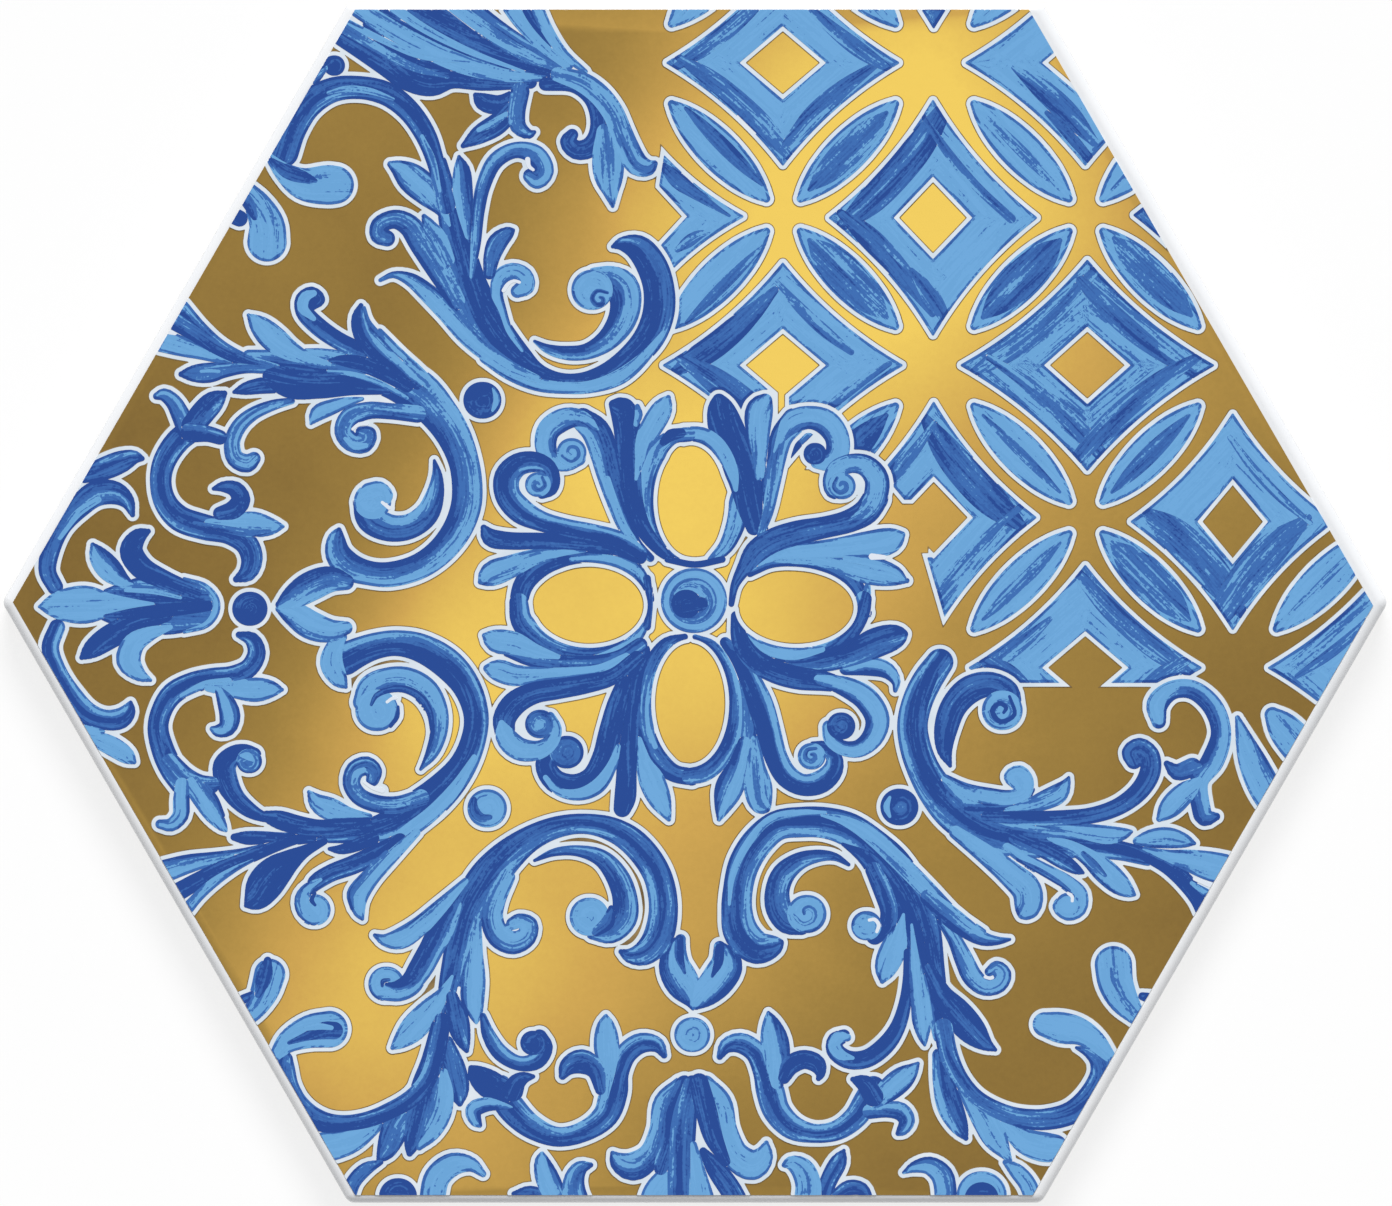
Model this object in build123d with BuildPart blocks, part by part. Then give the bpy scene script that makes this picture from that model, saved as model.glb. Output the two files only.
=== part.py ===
from build123d import *
import os
from math import ceil, cos, radians, sin

# Hexagonal glazed decor tile, in millimetres. The decorated face looks up (+Z), the waffle back
# lies on Z = 0, two corners point along X and two flat sides face along Y.

# Plan and thickness of the fired tile
across_flats = 175.0
thickness = 9.0

# Cushioned edge round the face, and the small corner that is left on the flat of the face
face_edge_radius = 1.4
face_corner_radius = 0.2

# Press draft: the lower part of the sides draws in towards the back
draft_height = 3.0
draft_inset = 0.5

# Waffle back: square cells between raised ribs, inside a plain band
cell_side = 9.0
rib_width = 3.0
rib_height = 0.6
plain_band = 7.0

apothem = across_flats / 2
corner_radius = face_edge_radius + face_corner_radius
back_apothem = apothem - draft_inset


def fits_in_band(x, y):
    """True if the square cell centred on (x, y) lies whole inside the plain band of the back."""
    far_x = abs(x) + cell_side / 2
    far_y = abs(y) + cell_side / 2
    reach = max(far_y, far_x * sin(radians(60)) + far_y * cos(radians(60)))
    return reach <= back_apothem - plain_band


def cell_centres():
    """Centres of the waffle cells. Two ribs cross at the middle of the back."""
    pitch = cell_side + rib_width
    half_count = ceil(across_flats / pitch)
    steps = [(i + 0.5) * pitch for i in range(-half_count, half_count)]
    return [(x, y) for x in steps for y in steps if fits_in_band(x, y)]


with BuildPart() as tile:
    # Drafted foot of the body, from the back up to the upright land of the sides
    with BuildSketch(Plane.XY) as back_outline:
        RegularPolygon(back_apothem, 6, major_radius=False)
        fillet(back_outline.vertices(), corner_radius)
    with BuildSketch(Plane.XY.offset(draft_height)) as land_outline:
        RegularPolygon(apothem, 6, major_radius=False)
        fillet(land_outline.vertices(), corner_radius)
    loft(ruled=True)

    # Upright land of the sides, up to the face
    extrude(land_outline.sketch, amount=thickness - draft_height)

    # Cushioned edge round the face
    fillet(tile.faces().sort_by(Axis.Z)[-1].edges(), face_edge_radius)

    # Waffle cells pressed into the back
    with BuildSketch(Plane.XY) as waffle:
        with Locations(*cell_centres()):
            Rectangle(cell_side, cell_side)
    extrude(waffle.sketch, amount=rib_height, mode=Mode.SUBTRACT)

tile.part.label = "tile"

os.makedirs("parts", exist_ok=True)
export_step(tile.part, "parts/tile.step")
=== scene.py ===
"""A hexagonal decor tile: white glaze, a gold lustre ground and a blue scroll and lattice ornament."""
import math

import bpy
import numpy as np
from mathutils.geometry import delaunay_2d_cdt
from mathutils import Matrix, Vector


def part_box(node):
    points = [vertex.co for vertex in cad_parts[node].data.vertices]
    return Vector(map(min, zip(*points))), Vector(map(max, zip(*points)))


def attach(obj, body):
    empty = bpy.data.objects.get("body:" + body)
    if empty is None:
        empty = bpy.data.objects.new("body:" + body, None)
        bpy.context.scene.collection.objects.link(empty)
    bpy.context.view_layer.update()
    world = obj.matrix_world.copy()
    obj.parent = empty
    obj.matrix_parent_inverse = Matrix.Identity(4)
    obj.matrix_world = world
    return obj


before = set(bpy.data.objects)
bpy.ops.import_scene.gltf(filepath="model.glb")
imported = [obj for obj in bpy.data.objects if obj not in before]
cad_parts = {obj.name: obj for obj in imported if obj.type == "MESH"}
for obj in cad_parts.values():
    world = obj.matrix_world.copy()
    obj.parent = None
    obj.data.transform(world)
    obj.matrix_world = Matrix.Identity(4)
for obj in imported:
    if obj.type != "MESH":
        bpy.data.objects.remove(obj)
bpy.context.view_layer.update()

MM = 0.001

# The grid that outlines are traced on, in millimetres, and the room round a patch that is worked out on it
CELL = 0.15
GRID_X = np.arange(-101.0, 101.0, CELL)
GRID_Y = np.arange(-88.0, 88.0, CELL)
REACH = 2.0

# Distances that stand for a place far outside a shape, and for no limit at all
FAR = 9.0
NO_LIMIT = -99.0

# The printed hexagon: how far each side lies from the middle, by the angle that it faces
PRINT_SIDES = {30: 85.4, 90: 86.45, 150: 86.15, 210: 86.1, 270: 86.4, 330: 85.85}

# Spread of the paint past a stroke's width, and the widths of the white line, of the dark line round it and
# of the blue's own dark edge
SPREAD = 0.18
WHITE_LINE = 0.57
HAIRLINE = 0.13
CONTOUR = 0.42

# Detail of curves and traced loops
CURVE_STEP = 0.7
LOOP_TOLERANCE = 0.012
SMALLEST_AREA = 0.03
SMALLEST_HOLE = 1.2

# Extra points inside a patch: how far past its dark edge they lie, and the room they keep from its outline
INNER_GAP = 0.1
INNER_ROOM = 0.12

# Places in the streak noise: steps from group to group and from patch to patch, and the lattice's start
GROUP_SEED = 40.0
PATCH_SEED = 1.37
LATTICE_SEED = 300.0

# Height of each layer's face above the glaze, in millimetres
SUNK = -0.02
GOLD_FACE = 0.05
HAIR_FACE = 0.09
WHITE_FACE = 0.13
BLUE_FACE = 0.17

# Tones of the blue paint: dark, deep, middle, soft, light, and white for a highlight line
TONES = {"d": 0.06, "e": 0.3, "m": 0.5, "s": 0.72, "l": 0.95, "w": 2.0}

# The camera looks straight down and takes in the photograph's width
VIEW_WIDTH = 202.95
VIEW_CENTRE = (0.146, -0.07)
VIEW_HEIGHT = 0.6

# Light from all round, and the key light's strength, width and direction, in degrees
SKY_STRENGTH = 0.38
KEY_STRENGTH = 2.9
KEY_WIDTH = 25
KEY_TILT = -48
KEY_TURN = -3

# The floor, in metres: a hair under the back of the tile, so that no two faces lie in one plane
FLOOR_HALF = 2.0
FLOOR_LEVEL = -0.0001
FLOOR_GLOW = 0.8


# Colours and nodes

def linear(red, green, blue):
    """A display colour of 0 to 255 as linear light with full opacity."""
    def channel(value):
        """One channel of the colour."""
        value = value / 255
        return value / 12.92 if value <= 0.04045 else ((value + 0.055) / 1.055) ** 2.4
    return (channel(red), channel(green), channel(blue), 1.0)


class Nodes:
    """A new node material, with short calls for the nodes that the finishes use."""

    def __init__(self, name):
        self.material = bpy.data.materials.new(name)
        self.material.use_nodes = True
        self.tree = self.material.node_tree
        self.shader = self.tree.nodes["Principled BSDF"]

    def add(self, kind, inputs=None, **settings):
        """A node with its settings and inputs."""
        node = self.tree.nodes.new(kind)
        for key, value in settings.items():
            setattr(node, key, value)
        for key, value in (inputs or {}).items():
            self.put(value, node.inputs[key])
        return node

    def put(self, value, socket):
        """A value, or another node's output, into an input."""
        if isinstance(value, bpy.types.NodeSocket):
            self.tree.links.new(value, socket)
        else:
            socket.default_value = value

    def math(self, operation, a, b=0.0):
        """A sum or another operation on two values."""
        return self.add("ShaderNodeMath", {0: a, 1: b}, operation=operation).outputs[0]

    def attribute(self, name, output="Fac"):
        """A value that the mesh holds at its points."""
        return self.add("ShaderNodeAttribute", attribute_name=name).outputs[output]

    def noise(self, vector, scale, detail=2.0):
        """Cloudy noise of about 0 to 1."""
        inputs = {"Vector": vector, "Scale": scale, "Detail": detail}
        return self.add("ShaderNodeTexNoise", inputs).outputs["Fac"]

    def place(self):
        """The place on the object, in metres."""
        return self.add("ShaderNodeTexCoord").outputs["Object"]

    def stretched(self, vector, factors):
        """A vector times a factor in each direction."""
        inputs = {0: vector, 1: factors}
        return self.add("ShaderNodeVectorMath", inputs, operation="MULTIPLY").outputs[0]

    def ranged(self, value, low, high, to_low=0.0, to_high=1.0):
        """A value moved from one range to another, and held inside it."""
        inputs = {"Value": value, "From Min": low, "From Max": high, "To Min": to_low, "To Max": to_high}
        return self.add("ShaderNodeMapRange", inputs).outputs[0]

    def ramp(self, value, stops, interpolation="LINEAR"):
        """A colour from (position, colour) stops."""
        node = self.add("ShaderNodeValToRGB", {"Fac": value})
        node.color_ramp.interpolation = interpolation
        elements = node.color_ramp.elements
        while len(elements) < len(stops):
            elements.new(1.0)
        for element, (position, colour) in zip(elements, stops):
            element.position = position
            element.color = colour
        return node.outputs["Color"]

    def mixed(self, factor, a, b):
        """A mix of two colours."""
        node = self.add("ShaderNodeMix", data_type="RGBA")
        self.put(factor, node.inputs[0])
        self.put(a, node.inputs[6])
        self.put(b, node.inputs[7])
        return node.outputs[2]

    def bump(self, height, strength, distance):
        """A fine unevenness of the surface."""
        inputs = {"Height": height, "Strength": strength, "Distance": distance}
        self.put(self.add("ShaderNodeBump", inputs).outputs["Normal"], self.shader.inputs["Normal"])

    def finish(self, **inputs):
        """The material, with the shader's inputs set."""
        for key, value in inputs.items():
            self.put(value, self.shader.inputs[key.replace("_", " ")])
        return self.material


# Finishes

def white_glaze():
    """White glaze on the face and sides, and bare buff biscuit on the back."""
    nodes = Nodes("white_glaze")
    place = nodes.place()
    normal = nodes.add("ShaderNodeNewGeometry").outputs["True Normal"]
    facing = nodes.add("ShaderNodeSeparateXYZ", {0: normal}).outputs["Z"]
    height = nodes.add("ShaderNodeSeparateXYZ", {0: place}).outputs["Z"]
    edge = nodes.math("ADD", height, nodes.math("MULTIPLY", nodes.noise(place, 260.0), 0.0012))
    above_foot = nodes.ranged(edge, 0.0016, 0.0022)
    off_back = nodes.ranged(facing, -0.5, -0.3)
    glazed = nodes.math("MULTIPLY", above_foot, off_back)
    specks = nodes.ranged(nodes.noise(place, 900.0, 4.0), 0.35, 0.7)
    biscuit = nodes.mixed(specks, linear(196, 178, 152), linear(222, 208, 186))
    pool = nodes.ranged(nodes.noise(place, 45.0), 0.3, 0.7)
    glaze = nodes.mixed(pool, linear(233, 235, 238), linear(239, 240, 242))
    nodes.bump(nodes.noise(place, 130.0), 0.05, 0.0004)
    colour = nodes.mixed(glazed, biscuit, glaze)
    rough = nodes.ranged(glazed, 0.0, 1.0, 0.85, 0.16)
    return nodes.finish(Base_Color=colour, Roughness=rough, Specular_IOR_Level=0.35)


def gold_lustre():
    """Brushed gold lustre with a painted reflection: painted light makes it bright in the middle, and
    painted shade makes it dull brown towards three of the corners.
    """
    nodes = Nodes("gold_lustre")
    place = nodes.place()
    cloud = nodes.math("SUBTRACT", nodes.noise(place, 70.0, 3.0), 0.5)
    grain = nodes.math("SUBTRACT", nodes.noise(place, 1500.0, 2.0), 0.5)
    # Painted reflection: the painted pools of light held at the points, with a random cloud and the
    # lustre's own fine grain added
    painted_reflection = nodes.math("ADD", nodes.attribute("painted_reflection"), nodes.math("MULTIPLY", cloud, 0.16))
    painted_reflection = nodes.math("ADD", painted_reflection, nodes.math("MULTIPLY", grain, 0.07))
    # Colours of the painted reflection, from dark brown where shade is painted to pale gold where light is
    # painted
    stops = [(0.0, linear(124, 97, 46)), (0.3, linear(166, 133, 63)),
             (0.65, linear(218, 174, 85)), (1.0, linear(255, 217, 100))]
    colour = nodes.ramp(painted_reflection, stops)
    nodes.bump(nodes.noise(place, 420.0), 0.06, 0.0003)
    return nodes.finish(Base_Color=colour, Metallic=0.25, Roughness=0.42, Specular_IOR_Level=0.3)


def brown_line():
    """The fine dark line where the gold meets the white outline."""
    nodes = Nodes("gold_edge")
    fade = nodes.ranged(nodes.noise(nodes.place(), 300.0), 0.35, 0.65)
    colour = nodes.mixed(fade, linear(112, 90, 56), linear(150, 124, 80))
    return nodes.finish(Base_Color=colour, Roughness=0.5, Specular_IOR_Level=0.25)


def white_enamel():
    """The cool white outline round the blue."""
    nodes = Nodes("white_enamel")
    wash = nodes.ranged(nodes.noise(nodes.place(), 220.0, 3.0), 0.32, 0.68)
    colour = nodes.mixed(wash, linear(212, 224, 235), linear(226, 234, 242))
    return nodes.finish(Base_Color=colour, Roughness=0.24, Specular_IOR_Level=0.35)


def blue_enamel():
    """Blue paint laid on in flat brush tones, with streaks along each stroke and a darker edge."""
    nodes = Nodes("blue_enamel")
    flow = nodes.attribute("flow", "Vector")
    broad = nodes.math("SUBTRACT", nodes.noise(nodes.stretched(flow, (0.09, 1.0, 3.0)), 1.0, 1.0), 0.5)
    fine = nodes.math("SUBTRACT", nodes.noise(nodes.stretched(flow, (0.2, 3.4, 5.0)), 1.0, 2.0), 0.5)
    dabs = nodes.math("SUBTRACT", nodes.noise(nodes.place(), 2100.0, 2.0), 0.5)
    tone = nodes.attribute("tone")
    value = nodes.math("ADD", tone, nodes.math("MULTIPLY", broad, 1.1))
    value = nodes.math("ADD", value, nodes.math("MULTIPLY", fine, 1.1))
    value = nodes.math("ADD", value, nodes.math("MULTIPLY", dabs, 0.5))
    edge = nodes.math("ADD", nodes.attribute("inset"), nodes.math("MULTIPLY", broad, 0.3))
    value = nodes.math("SUBTRACT", value, nodes.ranged(edge, CONTOUR - 0.06, CONTOUR + 0.06, 0.42, 0.0))
    stops = [(0.0, linear(31, 72, 150)), (0.31, linear(51, 98, 171)), (0.42, linear(58, 109, 181)),
             (0.58, linear(106, 166, 218)), (0.8, linear(110, 170, 222))]
    colour = nodes.ramp(nodes.ranged(value, -0.3, 1.3), stops, "CONSTANT")
    colour = nodes.mixed(nodes.math("GREATER_THAN", tone, 1.5), colour, linear(224, 232, 243))
    return nodes.finish(Base_Color=colour, Roughness=0.28, Specular_IOR_Level=0.35)


# Strokes

def smooth_line(places):
    """Points and half widths along a smooth line through the given (x, y, half width) places."""
    knots = np.array(places, float)
    knots = np.vstack([2 * knots[0] - knots[1], knots, 2 * knots[-1] - knots[-2]])
    gaps = np.sqrt(np.linalg.norm(np.diff(knots[:, :2], axis=0), axis=1))
    times = np.concatenate([[0], np.cumsum(np.maximum(gaps, 0.001))])
    line = []
    for i in range(1, len(knots) - 2):
        p = knots[i - 1:i + 3]
        t = times[i - 1:i + 3]
        count = max(3, math.ceil(np.linalg.norm(p[2, :2] - p[1, :2]) / CURVE_STEP))
        for s in t[1] + (t[2] - t[1]) * np.arange(count) / count:
            a = [(p[k] * (t[k + 1] - s) + p[k + 1] * (s - t[k])) / (t[k + 1] - t[k]) for k in range(3)]
            b = [(a[k] * (t[k + 2] - s) + a[k + 1] * (s - t[k])) / (t[k + 2] - t[k]) for k in range(2)]
            line.append((b[0] * (t[2] - s) + b[1] * (s - t[1])) / (t[2] - t[1]))
    line.append(knots[-2])
    line = np.array(line)
    return line[:, :2], np.maximum(line[:, 2], 0.05)


class Stroke:
    """One brush stroke, with its tones at the left side, the middle and the right side."""

    def __init__(self, tones, places):
        self.tones = tones
        self.points, self.widths = smooth_line(places)
        self.steps = np.diff(self.points, axis=0)
        self.lengths = np.maximum(np.linalg.norm(self.steps, axis=1), 1e-6)
        self.along = np.concatenate([[0], np.cumsum(self.lengths)])

    def box(self):
        """The corners of the part of the drawing that the stroke needs."""
        room = self.widths.max() + REACH
        return self.points.min(0) - room, self.points.max(0) + room

    def measure(self, x, y):
        """Signed distance to the stroke's outline over a window of the grid."""
        field = np.full((len(y), len(x)), FAR)
        for i, step in enumerate(self.steps):
            a = self.points[i]
            b = self.points[i + 1]
            width = self.widths[i]
            grow = self.widths[i + 1] - width
            room = max(width, width + grow) + REACH
            j0, j1 = np.searchsorted(x, [min(a[0], b[0]) - room, max(a[0], b[0]) + room])
            i0, i1 = np.searchsorted(y, [min(a[1], b[1]) - room, max(a[1], b[1]) + room])
            dx = x[j0:j1] - a[0]
            dy = (y[i0:i1] - a[1])[:, None]
            t = np.clip((dx * step[0] + dy * step[1]) / self.lengths[i] ** 2, 0, 1)
            distance = np.hypot(dx - t * step[0], dy - t * step[1]) - width - t * grow - SPREAD
            part = field[i0:i1, j0:j1]
            np.minimum(part, distance, out=part)
        return field

    def spine(self):
        """Points along the middle of the stroke."""
        return self.points

    def flow(self, points):
        """Place along the stroke, place across it and tone, at some points."""
        away = points[:, None, :] - self.points[None, :-1, :]
        t = np.clip((away * self.steps).sum(2) / self.lengths ** 2, 0, 1)
        gap = np.linalg.norm(away - t[..., None] * self.steps, axis=2)
        i = gap.argmin(1)
        rows = np.arange(len(points))
        t = t[rows, i]
        step = self.steps[i]
        across = (step[:, 0] * away[rows, i, 1] - step[:, 1] * away[rows, i, 0]) / self.lengths[i]
        width = self.widths[i] + t * (self.widths[i + 1] - self.widths[i])
        left, middle, right = self.tones
        tone = np.interp(across / width, [-0.75, -0.3, 0.2, 0.65], [right, middle, middle, left])
        return self.along[i] + t * self.lengths[i], across, tone


def brush(tones, *places):
    """A stroke through (x, y, half width) places, with its tones as three letters: left, middle, right."""
    return Stroke([TONES[letter] for letter in tones], places)


class Spot(Stroke):
    """A round spot of paint, with its streaks going round."""

    def flow(self, points):
        """Place round the spot, place out from its centre and tone, at some points."""
        away = points - self.points.mean(0)
        across = np.linalg.norm(away, axis=1)
        angle = np.arctan2(away[:, 1], away[:, 0])
        outside, middle, inside = self.tones
        tone = np.interp(across / self.widths[0], [0.2, 0.45, 0.6, 0.9], [inside, middle, middle, outside])
        return angle * across, across + 0.12 * angle, tone


def disc(tones, x, y, radius):
    """A spot, with its tones as three letters: outside, middle, inside."""
    return Spot([TONES[letter] for letter in tones], [(x - 0.1, y, radius), (x + 0.1, y, radius)])


def curl(tones, x, y, radius, start, sweep):
    """A thin line that winds in towards a point, from a starting angle and through a sweep, in degrees."""
    places = []
    for n in range(7):
        t = n / 6
        angle = math.radians(start + sweep * t)
        r = radius * (1 - 0.8 * t)
        width = 0.05 + 0.15 * math.sin(math.pi * t)
        places.append((x + r * math.cos(angle), y + r * math.sin(angle), width))
    return brush(tones, *places)


# Ornament of the south side

def south_left_scroll():
    """The stem from the middle, with its curled ends."""
    return [
        brush("sdm", (-10.8, -50.9, .2), (-9.4, -51.5, .9), (-7.4, -51.1, 1.6), (-5.5, -49, 2),
              (-4.6, -44.5, 1.95), (-5.6, -39.5, 1.9), (-8.7, -35.2, 1.85), (-12, -33.1, 1.6),
              (-16, -32.25, 1.3), (-20, -32.7, 1.4), (-24, -34.4, 1.7), (-27.8, -37.4, 2.3),
              (-30.6, -40.8, 2.7), (-33, -45, 2.4), (-34.4, -50, 1.9), (-35.6, -55, 1.5),
              (-36.6, -60, 1.1), (-37.5, -65, 1.1)),
        brush("lsm", (-27.4, -40, 1), (-29.1, -43.5, 1.3), (-29.6, -46, 1.45), (-28.6, -48.6, 1.55),
              (-26.5, -49.6, 1.5), (-24.6, -48.7, 1.3), (-24.2, -47, 1.1), (-25.6, -46.4, .9),
              (-26.6, -46.8, .75)),
        brush("sed", (-23.4, -37.6, .05), (-20.5, -36.4, .4), (-17, -36.2, .65), (-13.6, -37.3, 1.1),
              (-11.3, -40, 1.5), (-10.2, -43.2, 1.65), (-10.4, -46, 1.8), (-12.3, -47.9, 1.6),
              (-14.8, -48, 1)),
        disc("lll", -15.4, -45.8, 2.6),
        brush("dem", (-12.2, -44.6, .3), (-12.7, -46.6, .8), (-14.4, -48, .5)),
    ]


def south_left_leaves():
    """Leaves and a curl along the stem."""
    return [
        disc("lll", -45, -55.6, 2.35),
        brush("lls", (-45.5, -57.2, .6), (-43, -57.2, .75), (-41, -56.2, .75), (-39.5, -54.4, .4),
              (-38.4, -52.5, .02)),
        brush("sdd", (-35.4, -44.2, 1.2), (-37, -47.6, 1.7), (-38.4, -50.4, 1.6), (-40, -53.3, 1.6),
              (-41.4, -55.2, 1.3), (-43.4, -56, .7), (-45, -55.7, .1)),
        brush("ddd", (-45.6, -55.9, .02), (-45.5, -55.2, .15), (-44.6, -55, .05)),
        brush("lls", (-33.5, -40.6, .3), (-37, -44.2, .9), (-40.2, -47.2, 1.25), (-43, -49, 1.35),
              (-45.2, -49.2, .7), (-46.7, -48.5, .1)),
        brush("lll", (-35.4, -54.5, .02), (-36.8, -57, .7), (-38.8, -59.5, 1.5), (-41, -62, 1.75),
              (-42.8, -63.8, 1), (-44.1, -64.9, .15)),
        brush("lls", (-31.6, -46.5, .3), (-31.9, -51, .8), (-32.3, -55, 1.6), (-32.4, -58, 1.5),
              (-32, -60, .8), (-31.9, -61.2, .1)),
        brush("www", (-34.4, -56.2, .05), (-34.6, -58, .1), (-34, -60, .05)),
        brush("med", (-35.4, -57.5, .7), (-34.6, -61, 1.5), (-33.9, -63.6, 1), (-33.3, -65.3, .2)),
    ]


def south_left_foot():
    """Long leaves at the stem's foot, and the curls that meet it from the next side."""
    return [
        brush("lll", (-43.5, -73.6, .3), (-46.8, -76.4, .9), (-50, -78.4, 1.6), (-53, -79.2, 2),
              (-57, -80, 2)),
        brush("mme", (-39.5, -69.5, .8), (-41.7, -73.5, 1.5), (-43.8, -77, 1.8), (-45, -79.8, 1.2),
              (-46, -81.2, .3)),
        brush("mde", (-37.2, -62, 1.2), (-38.2, -67, 1.6), (-39.3, -71, 2), (-40.3, -75, 1.7),
              (-41.3, -79, .9), (-41.6, -80.3, .3)),
        brush("med", (-36, -64, .6), (-35.2, -68, 1.6), (-34.6, -70.8, 1.5), (-34.3, -73, .3)),
        brush("lls", (-36.6, -68.5, .4), (-36.4, -71.5, 1), (-37, -74.5, 1.3), (-38.4, -77.3, 1),
              (-40.2, -79.4, .3)),
        brush("dds", (-36.8, -61, 1), (-37.7, -66, 1.1), (-39.2, -69.9, 1.1), (-41.4, -72.3, 1.1),
              (-44.7, -74.2, 1.05), (-47.8, -75.4, 1), (-51, -75.9, 1), (-53.9, -75.8, 1.3),
              (-56.4, -74.6, 1.4), (-58.3, -72.8, 1.5), (-59.5, -70.4, 1.5), (-60, -68, 1.5),
              (-59.8, -66.6, 1)),
        brush("lll", (-61.4, -66.2, .6), (-59.2, -63.9, 1.5), (-56, -62.5, 2.25), (-53.3, -62.2, 2.5)),
        brush("dde", (-59.2, -64.2, .1), (-56.5, -63.2, .5), (-54, -62.4, 1.1), (-52.6, -62.4, 1.1)),
        brush("lsl", (-57, -62.2, .1), (-54.8, -61.8, .3), (-53, -62, .15)),
        brush("lsl", (-62, -54.2, 2.1), (-62.7, -56.5, 1.9), (-64, -59, 1.4), (-65.6, -60.8, 1)),
        brush("dem", (-62.3, -52.2, .4), (-62.8, -54.5, 1), (-63.7, -57.2, .3)),
        brush("mmm", (-64.6, -57, .2), (-65.8, -57.8, .5), (-67, -58.3, .5)),
    ]


def south_left_tendril():
    """The tendril that runs back to the middle."""
    return [
        brush("led", (-30.9, -60.3, .3), (-30.1, -63, .8), (-28.3, -65.7, 1), (-25.5, -67.2, .9),
              (-23, -66.7, 1.1), (-21.9, -64.8, 1), (-22.7, -63.4, 1)),
        disc("ddd", -23.6, -64.2, 1.6),
        brush("lde", (-28.5, -70.8, 1.8), (-26.9, -73.5, 1.9), (-24, -76.3, 1.6), (-20, -77.9, 1.25),
              (-16, -77, 1.35), (-13, -74.7, 1.7), (-11.9, -71.5, 1.9), (-11.3, -68.5, 1.5),
              (-10, -65.7, 1.4), (-7.8, -64.2, 1.3), (-5.5, -64.5, .9), (-4.5, -66, .3)),
        brush("lll", (-13, -60.3, .15), (-13, -62, 1.2), (-12.9, -64.5, 1.7), (-12.8, -68, 1.1),
              (-13.3, -72, .5)),
        brush("dem", (-13.8, -71, .6), (-14.6, -68, 1.2), (-16.5, -66.9, 1.6), (-18.5, -67.6, 1.1),
              (-19.3, -69, .4)),
        brush("ddd", (-28, -71.3, 1.6), (-30, -70.2, 1.9), (-31.6, -69, 1.3), (-32.6, -67.9, .3)),
        brush("ddd", (-26.6, -71.2, 1.4), (-26, -70, 1.1), (-25, -69.3, .7), (-23.6, -69.1, .15)),
        brush("dsl", (-26.8, -73.6, .05), (-28.6, -73.3, .5), (-30.6, -73.2, .9), (-32.3, -74, 1),
              (-32, -75.5, .7), (-31.4, -76.2, .2)),
    ]


def south_left_rim():
    """Leaf ends that the rim cuts off."""
    return [
        brush("mmm", (-45.8, -81.6, .2), (-48, -82.6, .8), (-49.8, -84.5, .9), (-50.6, -87, .9)),
        disc("ddd", -43.3, -86.6, 2.5),
        brush("lll", (-38.4, -87.5, 1.7), (-37.6, -83.8, 1.7), (-35.3, -81.9, 1.5), (-32.7, -81.9, .9),
              (-30.9, -83.3, .3)),
        brush("dem", (-21, -87.2, .8), (-24, -86.1, .9), (-26.4, -86.2, .2)),
        brush("llm", (-19.5, -88.5, 1), (-20.6, -86, 1.5), (-21.7, -83.5, 1.5), (-22.3, -81.5, .9),
              (-22.3, -80.4, .2)),
        brush("lme", (-4, -92.5, 1), (-8, -93.3, 1), (-13, -91, 1.2), (-17, -87.6, 1.6),
              (-17.7, -84.6, 1.4), (-16.8, -82.5, .9), (-15.2, -82, .2)),
    ]


def south_left():
    """The left half of the south side."""
    return (south_left_scroll() + south_left_leaves() + south_left_foot() + south_left_tendril()
            + south_left_rim())


def south_middle():
    """The cup and the drop in the middle of the south side, with the palmette under them."""
    return [
        brush("lld", (-2.1, -49.1, .6), (-2.9, -51, 1.5), (-3, -53, 2.1), (-1.9, -55.3, 2.3),
              (-.3, -57.6, 1.3), (-.3, -59.2, .1)),
        brush("ddm", (-2.3, -49, .4), (-2.3, -51.5, .5), (-1.5, -54, .02)),
        brush("dll", (3.6, -50.2, .7), (4.6, -52.7, 2.1), (3.5, -54.8, 2.3), (1.8, -56.8, 1.8),
              (.2, -58.8, .4)),
        brush("ddm", (3.6, -50.4, .5), (3.4, -52.5, .5), (2.5, -54.5, .02)),
        disc("lll", -.4, -63, 2.35),
        brush("lll", (-2, -82, .8), (-4.6, -84.5, 1.6), (-6, -87, 1.8), (-6.5, -89.5, 1)),
        brush("dsl", (-2, -70.5, 1.2), (-4.3, -73, 1.6), (-5.2, -77, 1.3), (-6.6, -80.6, 1.6),
              (-9, -82.2, 1.9), (-11, -81.6, 1.2), (-12, -80.3, .2)),
        brush("edm", (-1.5, -70.3, 1.2), (-3, -74, 1.7), (-3.8, -79, 1.6), (-5, -82.5, .8)),
        brush("mdm", (-.4, -70.2, 1.1), (-1.5, -75, 1.6), (-2, -82, 1.8), (-2, -88, 1.8)),
        brush("lls", (1.5, -70.3, 1.2), (3.5, -73, 1.7), (4.4, -77, 1.6), (6, -80.7, 1.9),
              (8.4, -82, 2), (9.9, -80.8, 1.3), (10.4, -78.8, .2)),
        brush("edd", (1.2, -80, .4), (3, -82.5, 1.2), (5, -85.3, 1.4), (6.5, -88, 1.4)),
        brush("ded", (.6, -70, 1.2), (1.6, -74, 1.4), (2.7, -78, 1.2), (4.5, -81.5, .5)),
        brush("lll", (-.2, -79, .3), (.6, -84, 1.1), (1.2, -88, 1.8)),
    ]


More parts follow.
